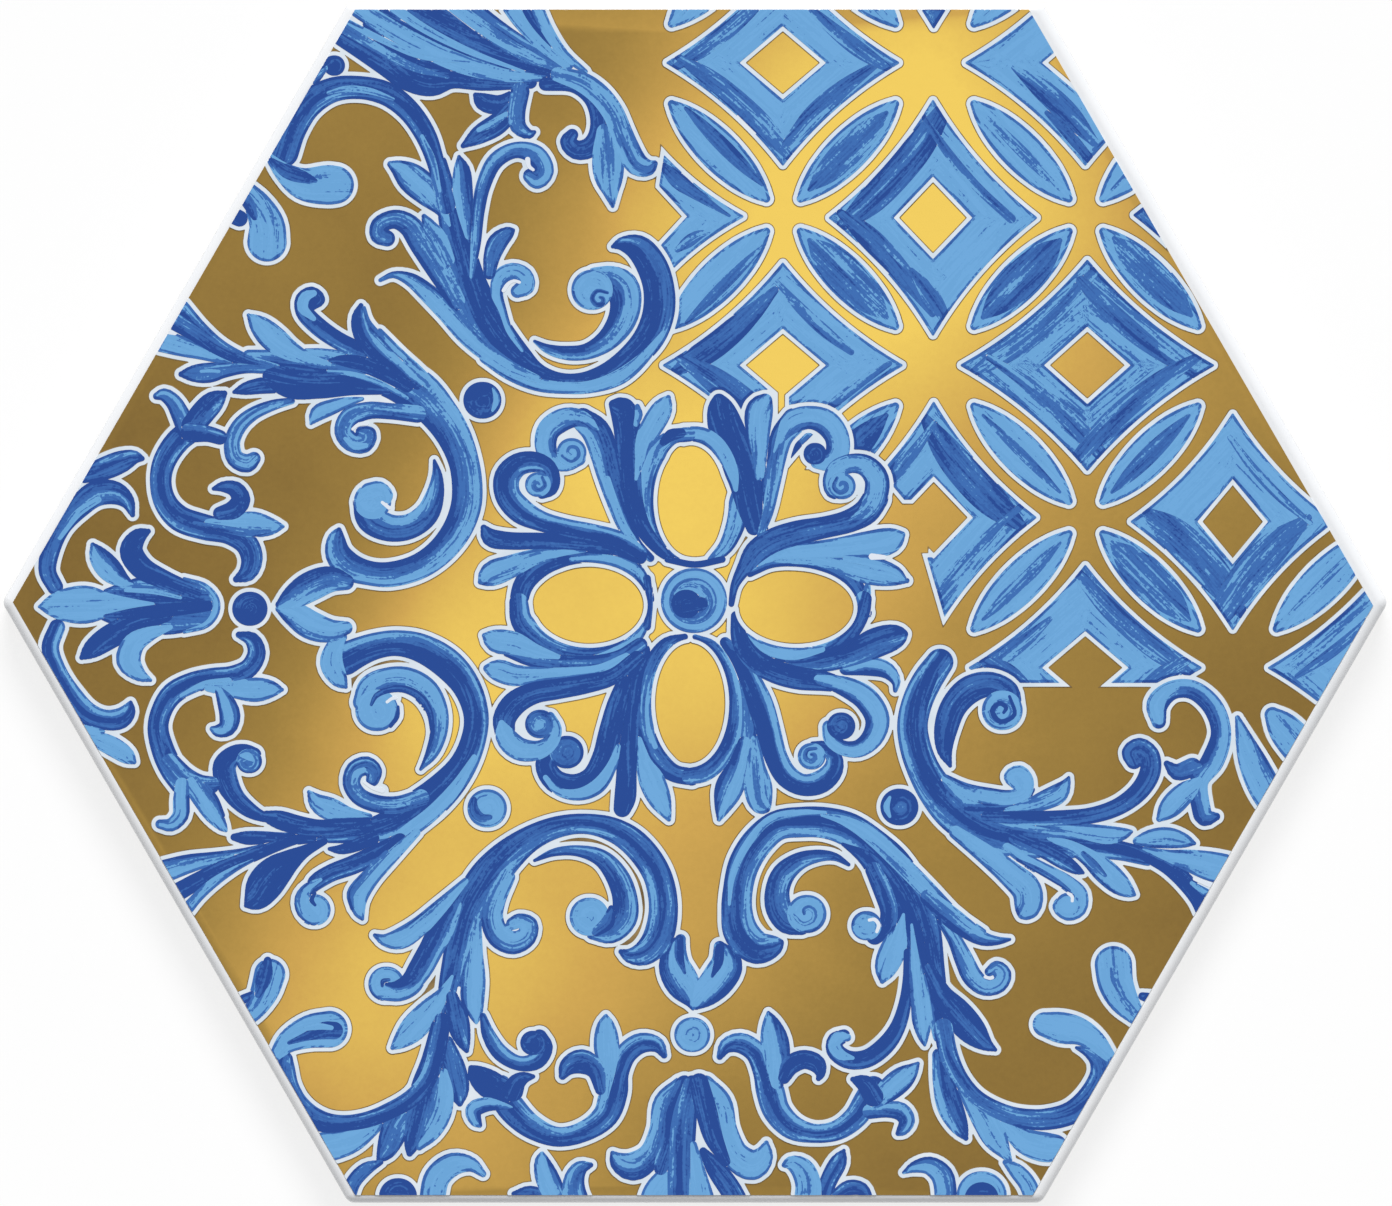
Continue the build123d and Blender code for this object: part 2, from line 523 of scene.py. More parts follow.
def south_right_scroll():
    """The stem from the middle, with its curled ends."""
    return [
        brush("mdl", (12.4, -49.6, .4), (11.2, -50.1, 1.4), (9, -50.3, 2.2), (6.8, -48.2, 2.4),
              (6.1, -45, 2.1), (6.3, -41.5, 2), (7.2, -38, 2.1), (9.2, -34.8, 2.1), (12, -32.5, 2),
              (15.5, -32, 2.05), (19, -32.1, 2.1), (22.4, -33.1, 2.3), (25.6, -35.4, 2.5),
              (28.5, -38.6, 3), (31, -42.5, 2.9), (33, -47.5, 2.6), (34.2, -53, 2), (35.2, -58, 1.5),
              (36, -63, 1.2)),
        brush("lls", (5, -44, .02), (5.4, -40, .3), (7.5, -35.4, .4), (11, -31.6, .4), (15, -30.6, .3),
              (19, -30.6, .02)),
        brush("lls", (18.5, -31, .02), (21.5, -31.7, .5), (25, -33.6, .9), (30, -38, 1.1),
              (34, -42, 1.1), (38, -45.6, .7), (42, -48, .3)),
        brush("ddd", (21.5, -35.2, .02), (24.5, -37, .8), (27, -39.6, 1.4), (29.6, -43.5, 1.8),
              (31.2, -48, 1.7), (32.6, -53, 1.2)),
        brush("mdd", (26, -39, 1), (27.5, -42.3, 1.2), (28.3, -45.2, 1.1), (27.8, -47.4, 1.1),
              (26.2, -48.6, 1.1)),
        disc("lll", 25, -47.1, 1.95),
        brush("www", (26.5, -48, .05), (26.8, -47, .1), (26.2, -46.2, .08), (25.4, -46.3, .01)),
        brush("sed", (22.4, -38.2, .1), (20.5, -37.1, .4), (18.2, -36.9, .7), (15.2, -37.7, 1.1),
              (12.9, -39.6, 1.5), (12, -42, 1.6), (12.2, -44.5, 1.75), (13.5, -46.4, 1.7),
              (15.4, -46.9, 1.4)),
        disc("lll", 16.3, -45.4, 2.6),
        curl("mmm", 16.3, -45.3, 1.9, 190, 360),
    ]


def south_right_leaves():
    """Leaves and a curl along the stem."""
    return [
        brush("lsm", (36.2, -46.5, .7), (37.9, -49.2, .9), (39.2, -52, 1.2), (40.5, -54.6, 1.3),
              (42.3, -56, 1.15), (44.2, -55.6, 1.15), (44.9, -54.2, 1.05), (44, -53.2, .8),
              (42.9, -53.8, .5)),
        brush("www", (42.3, -54.6, .03), (43, -54.8, .04), (43.4, -54.7, .01)),
        brush("lmd", (34, -43, 1), (37, -45.6, 1.35), (39.5, -47.5, 1.25), (42, -49, .85),
              (44.3, -49.3, .4), (45.9, -49.1, .05)),
        brush("ded", (34.2, -53.5, .7), (36.1, -57.2, 1.3), (38.3, -60, 2), (40.4, -62.4, 1.85),
              (42.3, -64.3, .85), (43.8, -65.2, .1)),
        brush("lls", (30.4, -45.5, .02), (29.9, -47.8, .7), (29, -50.3, 1.7), (27.9, -53, 1.5),
              (27.3, -55.2, .2)),
        brush("mdd", (31, -51, .4), (31, -55, .55), (30.6, -58.5, .75), (29.6, -61.8, .95),
              (27.8, -64.5, 1.15), (25, -66.5, 1.15), (22.2, -66.6, 1.15), (20.4, -65.2, 1.1),
              (20.5, -63.8, 1), (21.7, -63.2, .8)),
        brush("lll", (23, -66.4, .1), (21.2, -65.9, .6), (20.3, -64.6, .75), (20.9, -63.4, .7),
              (22.2, -63.4, .4)),
        brush("lls", (31.6, -47, .02), (32, -51, .35), (32.3, -54, .65), (32.8, -58, 1.15),
              (33.1, -61, 1.25), (33.3, -63.3, .6), (33.5, -64.5, .05)),
    ]


def south_right_foot():
    """Long leaves at the stem's foot, and the curls that meet it from the next side."""
    return [
        brush("lll", (43, -73.8, .5), (45.5, -76.3, .9), (48.3, -78.6, 1.7), (51, -79.4, 2),
              (52.4, -79.5, 1.8)),
        brush("lsl", (37.8, -68.5, .9), (40.2, -72, 1.3), (42.3, -75.5, 1.7), (43.7, -78, 1.6),
              (45, -80, .8), (45.9, -81.3, .2)),
        brush("del", (35.6, -66, .85), (36.2, -70, 1.35), (37.2, -73.5, 1.7), (38.5, -76.3, 1.15),
              (39.5, -78.1, .2)),
        brush("mem", (36.2, -62, 1.2), (37, -66, 1.2), (38.8, -69.6, 1), (41.3, -72.4, 1),
              (45.3, -74.5, 1.1), (48.5, -75.3, 1.3), (51.5, -75.3, 1.4), (54.8, -74.4, 1.5),
              (57.6, -72.2, 1.7), (59.3, -69, 1.6), (58.9, -66.8, 1.2), (57.3, -65.5, .6),
              (55.6, -64.9, .05)),
        brush("lll", (51, -61.5, 1.6), (53.5, -62, 2.1), (56, -62.5, 1.8), (58.3, -63.9, 1.35),
              (60.3, -66, .75)),
        brush("lsl", (61, -52.8, 2.55), (61.3, -55.3, 2.4), (62.4, -57.8, 2), (64.4, -60.4, 1.1)),
        brush("mem", (60.7, -53.4, .02), (61, -55, .2), (61.7, -56.6, .02)),
        brush("mmm", (65.2, -57.4, .4), (67.2, -57.9, .8)),
    ]


def south_right_tendril():
    """The tendril that runs back to the middle."""
    return [
        brush("ldm", (3.6, -66.2, .3), (4.6, -64.6, .9), (6.6, -64.2, 1.3), (8.8, -65.5, 1.4),
              (10.2, -68.3, 1.6), (11, -71.3, 1.9), (11.9, -74.1, 1.8), (14.2, -76.5, 1.6),
              (17.5, -77.4, 1.2), (20.8, -76.9, 1.3), (23.4, -75, 1.5), (25, -72.6, 1.7),
              (26, -70.8, 1.6)),
        brush("dll", (10.7, -59.8, .1), (11.1, -61.5, 1.1), (11.6, -64, 1.9), (12, -67, 1.6),
              (12, -70, .8)),
        brush("dde", (13, -69.3, .7), (14, -67.4, 1.2), (16, -66.6, 1.2), (17.8, -67.3, 1.1),
              (18.3, -68.7, .5), (18, -69.4, .2)),
        brush("lmd", (25.5, -74.2, .9), (28, -73.9, 1), (30, -74.2, 1.15), (30.9, -75.5, 1),
              (30.3, -76.8, .7), (29.6, -77.4, .2)),
        brush("mlm", (26.3, -72.8, .8), (28.3, -71, 1.55), (30.2, -69.4, 1.55), (31.6, -68.2, .8),
              (32.5, -67.2, .1)),
        brush("ddd", (26, -72, 1.3), (24.8, -70.2, 1.1), (23, -69.5, .2)),
    ]


def south_right_rim():
    """Leaf ends that the rim cuts off."""
    return [
        brush("lll", (45.2, -81.6, .2), (46.8, -82.8, .9), (48.5, -84.8, 1.1), (49.5, -87.5, 1.1)),
        disc("lll", 41.8, -86.5, 3.4),
        disc("ddd", 41.8, -86.9, 2.2),
        brush("msl", (30.4, -83.1, .05), (32, -82.3, .65), (34.2, -82.1, 1.15), (36, -83.5, 1.45),
              (36.5, -85.5, 1.45), (36.5, -87.5, 1.45)),
        brush("mdm", (20.5, -86.5, .7), (22.5, -85.3, .95), (24.3, -85.5, .8), (25.3, -86.8, .5)),
        brush("mdm", (21.7, -79.9, .1), (20.9, -81.6, 1.05), (19.7, -83.8, 1.1), (18.6, -86.5, 1)),
        brush("lml", (13, -82, .2), (14, -81.7, .8), (15.6, -82.6, 1.5), (16.5, -84.8, 1.7),
              (16.3, -88, 1.8)),
    ]


def south_right():
    """The right half of the south side."""
    return (south_right_scroll() + south_right_leaves() + south_right_foot()
            + south_right_tendril() + south_right_rim())


# Ornament of the west side

def west_low_scroll():
    """The stem from the middle, with its curled ends."""
    return [
        brush("sdd", (-51, -8.2, 2.2), (-49, -7.2, 1.95), (-46.5, -6.3, 1.75), (-43.5, -5.9, 1.7),
              (-40, -6.6, 1.9), (-36, -9, 2.1), (-33.2, -12.4, 1.85), (-31.9, -16.5, 1.65),
              (-32.3, -20, 1.65), (-33.9, -23.8, 1.85), (-37, -27.5, 2.35), (-41, -30.6, 2.6),
              (-45.5, -32.8, 1.9), (-50, -33.6, 1.3), (-55, -34, .9), (-60, -34.6, .7)),
        brush("lls", (-50.9, -12.3, .1), (-52, -11, 1.1), (-53, -8.8, 1.5), (-52.6, -6.6, 1.1),
              (-51.6, -5, .7)),
        brush("lll", (-32.2, -22.5, .2), (-34.6, -26.6, .7), (-38.2, -30.6, .9), (-42.5, -33.9, .9),
              (-46, -36.3, .5)),
        brush("mms", (-40, -28.5, 1.1), (-43.5, -29.5, 1.1), (-46.5, -29.3, 1.1), (-49, -28.2, 1.1),
              (-50.1, -26.3, 1.1), (-49.5, -24.4, 1.2), (-47.9, -23.8, 1.2), (-46.8, -24.6, 1),
              (-47, -25.8, .8)),
        brush("www", (-45.6, -27.4, .2), (-47, -27, .1), (-48.2, -26.2, .02)),
        brush("lsl", (-49.9, -26.4, .1), (-49.3, -25, .4), (-48.3, -24.4, .2)),
        brush("dsl", (-40, -24.3, .02), (-38.4, -22, .75), (-37.4, -19, 1.1), (-37.6, -16, 1.45),
              (-39.2, -13, 1.75), (-41.8, -11.4, 1.75), (-44.6, -11.2, 1.6), (-47.3, -12.3, 1.6),
              (-48.5, -14.5, 1.2)),
        disc("lll", -46.4, -15.7, 2.85),
        brush("ded", (-47.2, -14.9, .02), (-46.5, -13.6, .2), (-44.8, -12.8, .25), (-42.5, -12.6, .35),
              (-40.2, -13.7, .4), (-38.7, -16, .3), (-38.3, -19, .1)),
        brush("mem", (-43.3, -15.2, .02), (-43.4, -16.6, .15), (-44.4, -18, .1)),
        brush("www", (-43.6, -13.9, .05), (-44.2, -14, .06), (-44.9, -14.5, .01)),
    ]


def west_low_leaves():
    """Leaves and a curl along the stem."""
    return [
        brush("mdd", (-43, -34.6, .8), (-47, -36.9, 1.2), (-50, -38.3, 1.2), (-53, -39.4, 1.1),
              (-55.3, -40.8, 1), (-56.4, -42.2, .5)),
        disc("lll", -55.5, -44.8, 2.1),
        brush("lls", (-54.6, -40.4, .1), (-56.6, -41.6, .5), (-57.3, -43.2, .9), (-57, -45, .9),
              (-55.6, -46.2, .7)),
        brush("ddd", (-55.4, -42.4, .02), (-55.9, -43.4, .15), (-55.4, -44.1, .02)),
        brush("ddd", (-53.3, -35.9, .1), (-51.8, -36, .5), (-50, -35.6, .7), (-47, -34.4, .8)),
        brush("lls", (-40.6, -33.5, .4), (-44.2, -37, .8), (-47.3, -40.3, 1), (-49.1, -43, 1.2),
              (-49, -45, .7), (-48.5, -46.1, .1)),
        brush("mmm", (-45, -36.5, .2), (-48, -39.6, .4), (-50.2, -42.4, .4), (-50, -44.6, .1)),
        brush("lls", (-56.3, -27.6, .1), (-55, -29.2, 1.1), (-53.2, -30.1, 1.5), (-50.5, -30.9, .9),
              (-47.5, -31.2, .3)),
    ]


def west_low_foot():
    """Long leaves from the stem out to the rim."""
    return [
        brush("ddd", (-54, -34.8, .3), (-57, -36.3, .75), (-59.2, -37.7, 1.45), (-61.3, -39.4, 2.25),
              (-62.8, -41.2, 2.4), (-63.9, -43, 1.6), (-65.5, -44.2, .1)),
        brush("ddm", (-56, -34.2, .7), (-60, -34.5, .8), (-63, -34.3, .8), (-65.5, -34.3, .8),
              (-67.2, -34.2, .35)),
        brush("smm", (-58, -34.4, .3), (-62, -35.5, .4), (-66, -36.6, .6), (-70, -37.3, .8),
              (-74, -38, 1.1), (-79, -39.5, 1.4)),
        brush("lls", (-65, -36.6, .05), (-69, -37.5, .3), (-73, -38.5, .5), (-78.5, -40.4, .8)),
        brush("ddd", (-55, -33.7, .3), (-60, -35.1, .6), (-65, -37.1, .8), (-70, -39.3, 1),
              (-74, -41.4, 1.1), (-78, -43.8, 1.3)),
        brush("lsl", (-64.5, -37.6, .02), (-67, -38.8, .25), (-70, -40.7, .5), (-72.5, -42.9, .6),
              (-75, -45.8, .8)),
        brush("ddd", (-48, -32.3, .8), (-52, -32.7, 1), (-55, -32.8, 1), (-58, -32.4, 1.2),
              (-60.5, -31.7, 1.2), (-62.4, -31.2, .7)),
    ]


def west_low_tendril():
    """The tendril that runs back to the middle."""
    return [
        brush("ddm", (-61.5, -31.4, .5), (-63, -31.2, .6), (-65, -30.2, .95), (-67, -28.4, 1.2),
              (-68.3, -26, 1.5), (-68.6, -23.8, 1.5), (-67.2, -22.2, 1.2), (-65.6, -21.8, 1),
              (-64.3, -22.2, .9)),
        disc("mmm", -65, -23.1, 1.6),
        brush("lls", (-66.2, -22.3, .05), (-65.2, -22.4, .4), (-64.4, -23, .05)),
        brush("mdm", (-74.4, -26.6, 1.7), (-76.3, -24.2, 1.6), (-77.6, -21.4, 1.5),
              (-78.3, -18.2, 1.35), (-77.7, -15.6, 1.35), (-76.2, -13.3, 1.45), (-73.5, -11.8, 1.4),
              (-70.4, -11, 1.3), (-67.5, -10.7, 1.3), (-65, -9.5, 1.2), (-63.9, -7.3, 1.15),
              (-64.6, -5.4, .9), (-66.5, -4.7, .3)),
        brush("lls", (-74.8, -13.6, .2), (-71.5, -12, .4), (-68, -11.4, .3)),
        brush("lll", (-60.2, -12.7, .1), (-62, -12.6, 1.1), (-64, -12.7, 1.6), (-67, -12.7, 1.1),
              (-71, -12.4, .4)),
        brush("mlm", (-69.3, -13, .5), (-68.4, -14.5, 1.1), (-67.8, -16.5, 1.35), (-68.2, -18.2, 1.1),
              (-69.5, -18.7, .7), (-70.4, -18.4, .2)),
        brush("mmm", (-76.4, -23.6, 1.4), (-74.6, -25.6, 1.6), (-72.4, -26.6, 1.4),
              (-70.6, -26.6, 1.1)),
        brush("sll", (-73, -26.8, 1.3), (-71.6, -28.8, 1.35), (-70.2, -30.9, 1.15), (-69, -32.5, .6),
              (-68.4, -33.2, .1)),
        brush("mem", (-71.5, -26.8, .3), (-70.2, -28.6, .5), (-69, -31, .3)),
        brush("mll", (-74.8, -26.5, .8), (-74.9, -29, 1.05), (-75, -31, 1), (-76.4, -32.4, .8),
              (-78, -32.3, .5)),
    ]


def west_low_rim():
    """Leaf ends that the rim cuts off."""
    return [
        brush("lde", (-93, -3.6, 1), (-94, -6.5, 1.1), (-93, -9.8, 1.1), (-91.2, -13.2, 1.4),
              (-88.6, -16.2, 1.5), (-86, -17.1, 1.3), (-83.8, -16.9, 1.35), (-82.7, -15.9, .95),
              (-82.3, -14.6, .15)),
        brush("lll", (-88.6, -19.5, .9), (-86.6, -20.2, 1.1), (-84.7, -21.1, 1.25), (-82.9, -22.3, 1),
              (-81.8, -23.2, .2)),
        brush("lls", (-89, -18.4, .4), (-87.4, -18.8, .5), (-86.2, -18.8, .05)),
    ]


def west_low():
    """The lower half of the west side."""
    return west_low_scroll() + west_low_leaves() + west_low_foot() + west_low_tendril() + west_low_rim()


def west_middle():
    """The cup, the drop and the palmette in the middle of the west side."""
    return [
        brush("mll", (-50.9, -3.7, .8), (-53.2, -4.1, 1.5), (-56, -3.3, 1.9), (-58.3, -1.8, 1.6),
              (-60.6, -.9, .4)),
        brush("lmd", (-50.9, 3, 1), (-53.2, 3.4, 1.7), (-56, 2.4, 2), (-58.3, 1, 1.6),
              (-60.6, -.3, .4)),
        disc("ddd", -64.9, -.9, 2.3),
        brush("mdm", (-71, -.5, 1.2), (-72.6, -.5, 2.9), (-76, -.5, 3.9), (-80, -.4, 4),
              (-84, -.4, 2.8), (-88, -.4, 1)),
        brush("lll", (-95.6, -.6, .05), (-92.5, -.4, 1.9), (-89, -.3, 2.6), (-86, -.3, 1.6),
              (-82, -.2, .6), (-79, -.2, .05)),
        brush("ddd", (-89.4, -8, .2), (-87.8, -6.7, 1.2), (-85, -4.8, 1.6), (-81, -3, 1.3),
              (-77, -2, .6)),
        brush("dll", (-87.8, 8.4, .2), (-86.8, 6.6, 1.3), (-85.3, 4.8, 1.6), (-83.6, 3.4, .9),
              (-82, 2.8, .05)),
        brush("lll", (-79.4, -11.3, .1), (-81, -10.5, .8), (-82.6, -8.4, 1.6), (-81.8, -6, 1.4),
              (-79.6, -4.6, .9), (-76.5, -3.6, .2)),
        brush("edd", (-79.7, 10.4, .2), (-81.2, 9.6, 1), (-82.2, 7.6, 1.5), (-80.8, 5.2, 1.5),
              (-77.5, 3.4, 1.2), (-73, 1.6, .9)),
        brush("ddd", (-71, -.5, .6), (-76, -1, .8), (-82, -1.6, .6), (-86, -2, .1)),
        brush("lsl", (-75, .7, .05), (-79, 1.6, .2), (-83, 1.8, .1)),
        brush("lls", (-74.5, 3.5, .05), (-71.4, 2.3, .3), (-69.9, .4, .4), (-69.9, -1.4, .4),
              (-71.2, -3.2, .3), (-74.5, -4.3, .05)),
    ]


def west_high_scroll():
    """The stem from the middle, with its curled ends."""
    return [
        brush("dml", (-51.9, 10.6, .2), (-52.3, 9.2, 1.1), (-52, 7, 1.7), (-50.2, 5.2, 1.8),
              (-47.5, 4.3, 1.6), (-44.5, 4.1, 1.65), (-40.4, 5.2, 1.7), (-37.2, 7.4, 1.8),
              (-34.7, 10.6, 1.95), (-33.4, 14, 2.05), (-33.2, 17, 2.05), (-33.7, 20.5, 2.05),
              (-35.2, 24.4, 2.3), (-37.5, 27.8, 2.6), (-40.5, 30.8, 3), (-44.5, 32.9, 2.8),
              (-49, 33.8, 2.3), (-54.5, 35, 1.9), (-60, 35.3, 1.4), (-65, 35.8, .9)),
        brush("lsl", (-36.5, 29, .3), (-39.5, 32.7, .7), (-43, 36, .7), (-46, 39.4, .4)),
        brush("dml", (-38, 20.7, .05), (-37.6, 18.5, .6), (-37.9, 15.8, 1.15), (-39.1, 12.9, 1.55),
              (-41.6, 11.1, 1.65), (-44.6, 10.9, 1.8), (-47.2, 12.3, 2), (-48, 14.6, 1.7)),
        disc("lll", -47, 14.8, 2.45),
        brush("lll", (-47.5, 16.2, 1.1), (-46, 16.6, .9), (-44.7, 15.7, .5), (-44.7, 14.8, .2)),
        brush("www", (-44.6, 13.8, .1), (-45.6, 14.6, .05)),
        brush("mms", (-40.5, 27.5, 1.1), (-44.5, 27.9, 1), (-47.7, 28, 1.1), (-50.4, 26.9, 1.3),
              (-51.2, 24.9, 1.2), (-50.1, 23.4, 1.2), (-48.3, 23.2, 1.2), (-47.6, 24.5, 1),
              (-48.7, 24.9, .6)),
        brush("www", (-47.8, 26.1, .1), (-49, 26, .08), (-49.9, 25.3, .02)),
        brush("lll", (-51, 23.9, .1), (-49.6, 22.8, .35), (-48, 22.9, .2)),
        brush("lls", (-56, 26.1, .05), (-55, 27.6, .95), (-53, 28.5, .95), (-50.5, 29.3, .5),
              (-48.5, 29.7, .1)),
    ]


def west_high_leaves():
    """Leaves and a curl along the stem."""
    return [
        brush("mdd", (-46, 35.6, .8), (-49, 36.8, 1.05), (-52, 38.2, 1.1), (-55, 40.3, 1.15),
              (-57, 42.5, 1.1), (-57.1, 44.2, 1), (-55.9, 45, .9), (-54.9, 44.2, .8),
              (-55.6, 43.4, .5)),
        brush("lll", (-55.6, 41.4, .2), (-57.2, 43, .6), (-56.8, 44.6, .6), (-55.6, 45.1, .3)),
        brush("ldd", (-48.7, 43.3, .2), (-48.9, 41.5, 1), (-48.4, 39.3, 1.3), (-46.6, 36.9, 1.4),
              (-43.8, 34.4, 1.2), (-40.5, 31.8, .6)),
        brush("lls", (-48.2, 43, .02), (-47.6, 40.9, .2), (-45.4, 38.4, .25), (-42.4, 35.6, .2)),
        brush("lls", (-65.1, 41.9, .1), (-63.3, 40.2, 1.35), (-61.5, 38.5, 1.75), (-59.3, 36.9, 1.35),
              (-56.5, 35.6, .7), (-53.5, 34.7, .3)),
    ]


def west_high_foot():
    """Long leaves from the stem out to the rim."""
    return [
        brush("lls", (-65.8, 34.6, .05), (-69, 35.5, .5), (-72, 36.5, .9), (-75, 37.4, 1.3),
              (-79, 38.6, 1.6)),
        brush("ddl", (-61, 34.2, .4), (-65, 35.3, .6), (-69, 37.2, .8), (-72.2, 39.8, 1),
              (-76, 43.9, 1.3)),
        brush("ddm", (-61, 33.8, .4), (-65.5, 35, .5), (-69.5, 36.9, .7), (-73, 39.2, .9),
              (-77.5, 42, 1.2)),
        brush("www", (-77.4, 39.5, .15), (-75.8, 39.2, .02)),
        brush("mmm", (-74.9, 33.3, .25), (-73, 33.4, 1.05), (-71, 33.5, 1.3), (-68.5, 33.9, .9),
              (-65.5, 34.1, .5), (-62, 33.9, .4)),
        brush("lsl", (-72, 33.7, .02), (-70.7, 33.8, .08), (-69.4, 33.7, .02)),
        brush("mde", (-67.2, 30.7, .1), (-65.5, 31.2, .75), (-63.5, 31.6, 1), (-61, 31.8, 1.1)),
        brush("ddd", (-62, 33, .9), (-59, 32.3, 2.3), (-55, 31.9, 2), (-50, 31.9, 1.5),
              (-45, 31.5, 1)),
        brush("ddd", (-53.2, 35.3, .1), (-51.5, 35.3, .6), (-49, 34.9, .9), (-45.5, 33.6, 1),
              (-42, 31.6, .8)),
        brush("lsm", (-53.5, 33.7, .02), (-50, 33.3, .2), (-46, 32, .25), (-42, 29.8, .1)),
    ]


def west_high_tendril():
    """The tendril that runs back to the middle."""
    return [
        brush("lmm", (-58.8, 29.4, .3), (-61.5, 28.8, .6), (-64.5, 27.5, .8), (-66.5, 25.7, .95),
              (-67.5, 23.3, 1), (-67, 21, 1.1), (-65.3, 20.3, 1.15), (-64.3, 21, .8)),
        brush("mdm", (-72.6, 25.5, 1.5), (-75.2, 23.8, 1.6), (-77.4, 20.5, 1.5), (-77.9, 17.5, 1.4),
              (-77.2, 14.6, 1.5), (-75.2, 12.3, 1.7), (-71.5, 11, 1.7), (-68, 10.2, 1.5),
              (-65.4, 8.6, 1.5), (-64.6, 6.4, 1.4), (-65.2, 4.4, 1.1), (-66.9, 3.4, .3)),
        brush("lsl", (-60.1, 11.1, .1), (-62, 11.1, 1.1), (-64.5, 11.4, 1.7), (-67.5, 11.4, 1.2),
              (-71, 11.6, .4)),
        brush("mmm", (-62, 10.4, .1), (-65, 10.1, .4), (-69, 10.8, .3), (-73, 11.6, .1)),
        brush("ded", (-69.3, 13, .8), (-67.2, 13.6, 1.2), (-66.2, 15, 1.2), (-67, 16.5, 1),
              (-68.8, 16.9, .6), (-70.2, 16.6, .1)),
        brush("mmd", (-78.5, 30.1, .35), (-77.4, 30.3, .75), (-76, 29.2, 1), (-75, 27.4, 1.2),
              (-74, 25.3, 1.4)),
        brush("dem", (-73.2, 25.8, 1.5), (-71.8, 27.6, 1.6), (-70.3, 29.2, 1.4), (-68.6, 30.5, .25)),
        brush("mdd", (-73.5, 24.8, 1.3), (-71, 24.6, 1), (-69.3, 24.1, .9)),
    ]


def west_high_rim():
    """Leaf ends that the rim cuts off."""
    return [
        brush("mde", (-89, 18.6, 1), (-86, 19.6, 1.5), (-83.5, 20.6, 1.4), (-81.8, 21.2, .8),
              (-80.6, 21, .2)),
        brush("mme", (-82, 12.8, .2), (-82.8, 14.8, .9), (-84.6, 16, 1.5), (-87.3, 15.9, 1.7),
              (-89.8, 14, 1.5), (-92.4, 11, 1.2), (-94, 7.5, 1.2), (-94.4, 4.5, 1.1), (-93.3, 2.3, 1)),
        brush("lll", (-92.6, 9.5, .2), (-90, 13, .4), (-87, 15, .3)),
        brush("ddd", (-68.5, 57, 1.1), (-66.4, 56, 1)),
    ]


def west_high():
    """The upper half of the west side."""
    return (west_high_scroll() + west_high_leaves() + west_high_foot() + west_high_tendril()
            + west_high_rim())


# Ornament of the north side

def north_left_scroll():
    """The stem from the middle, with its curled ends."""
    return [
        brush("mdd", (-12, 51.9, .1), (-10.6, 52.3, .8), (-8.3, 51.7, 1.7), (-6.4, 49.3, 2.05),
              (-5.3, 46, 2.1), (-5.3, 42.3, 2.15), (-6.6, 38.8, 2.05), (-9, 36, 1.8),
              (-12.6, 33.4, 1.5), (-16.5, 32.15, 1.2), (-20, 32.2, 1.2), (-23.5, 33.3, 1.7),
              (-26.5, 35.6, 2.5), (-29.3, 38.8, 2.9), (-31.5, 42.5, 2.8), (-33, 46.5, 2.45),
              (-34.2, 51, 2.1), (-35.3, 55, 1.8), (-36.3, 59.5, 1.4), (-37.4, 64, 1.1)),
        brush("lls", (-4.6, 39.5, .05), (-7, 36.2, .6), (-10.8, 33, .95), (-15, 31.5, .75),
              (-19, 31.3, .7), (-23, 31.8, .8), (-27, 33.5, .9), (-30.5, 35.8, .8)),
        brush("dml", (-23.4, 38.1, .05), (-21.5, 37, .5), (-18.8, 36.4, .85), (-15.8, 36.6, 1),
              (-12.9, 38.2, 1.4), (-10.8, 40.9, 1.85), (-10.1, 43.6, 2.1), (-10.6, 46, 2.2),
              (-12.2, 47.3, 1.6), (-14.5, 47.3, 1.4)),
        disc("lll", -15, 45.6, 2.75),
        curl("mdm", -13.9, 44.2, 1.5, 40, 400),
        brush("lls", (-25.2, 36.8, .1), (-27, 39.5, .3), (-28, 42.5, .4), (-28.9, 45.3, .75),
              (-28.3, 47.5, 1), (-26.6, 48.3, 1.05), (-25, 47.6, 1.15), (-24.7, 46.2, 1.15),
              (-25.9, 45.4, .8)),
        brush("www", (-27.9, 45.5, .12), (-27.3, 46.4, .1), (-26.4, 46.9, .05), (-25.6, 46.7, .01)),
        brush("mmm", (-30, 48, .7), (-29.6, 50.5, 1.05), (-28.8, 52.5, 1.25), (-27.4, 53.8, .8),
              (-26.5, 54.3, .1)),
    ]


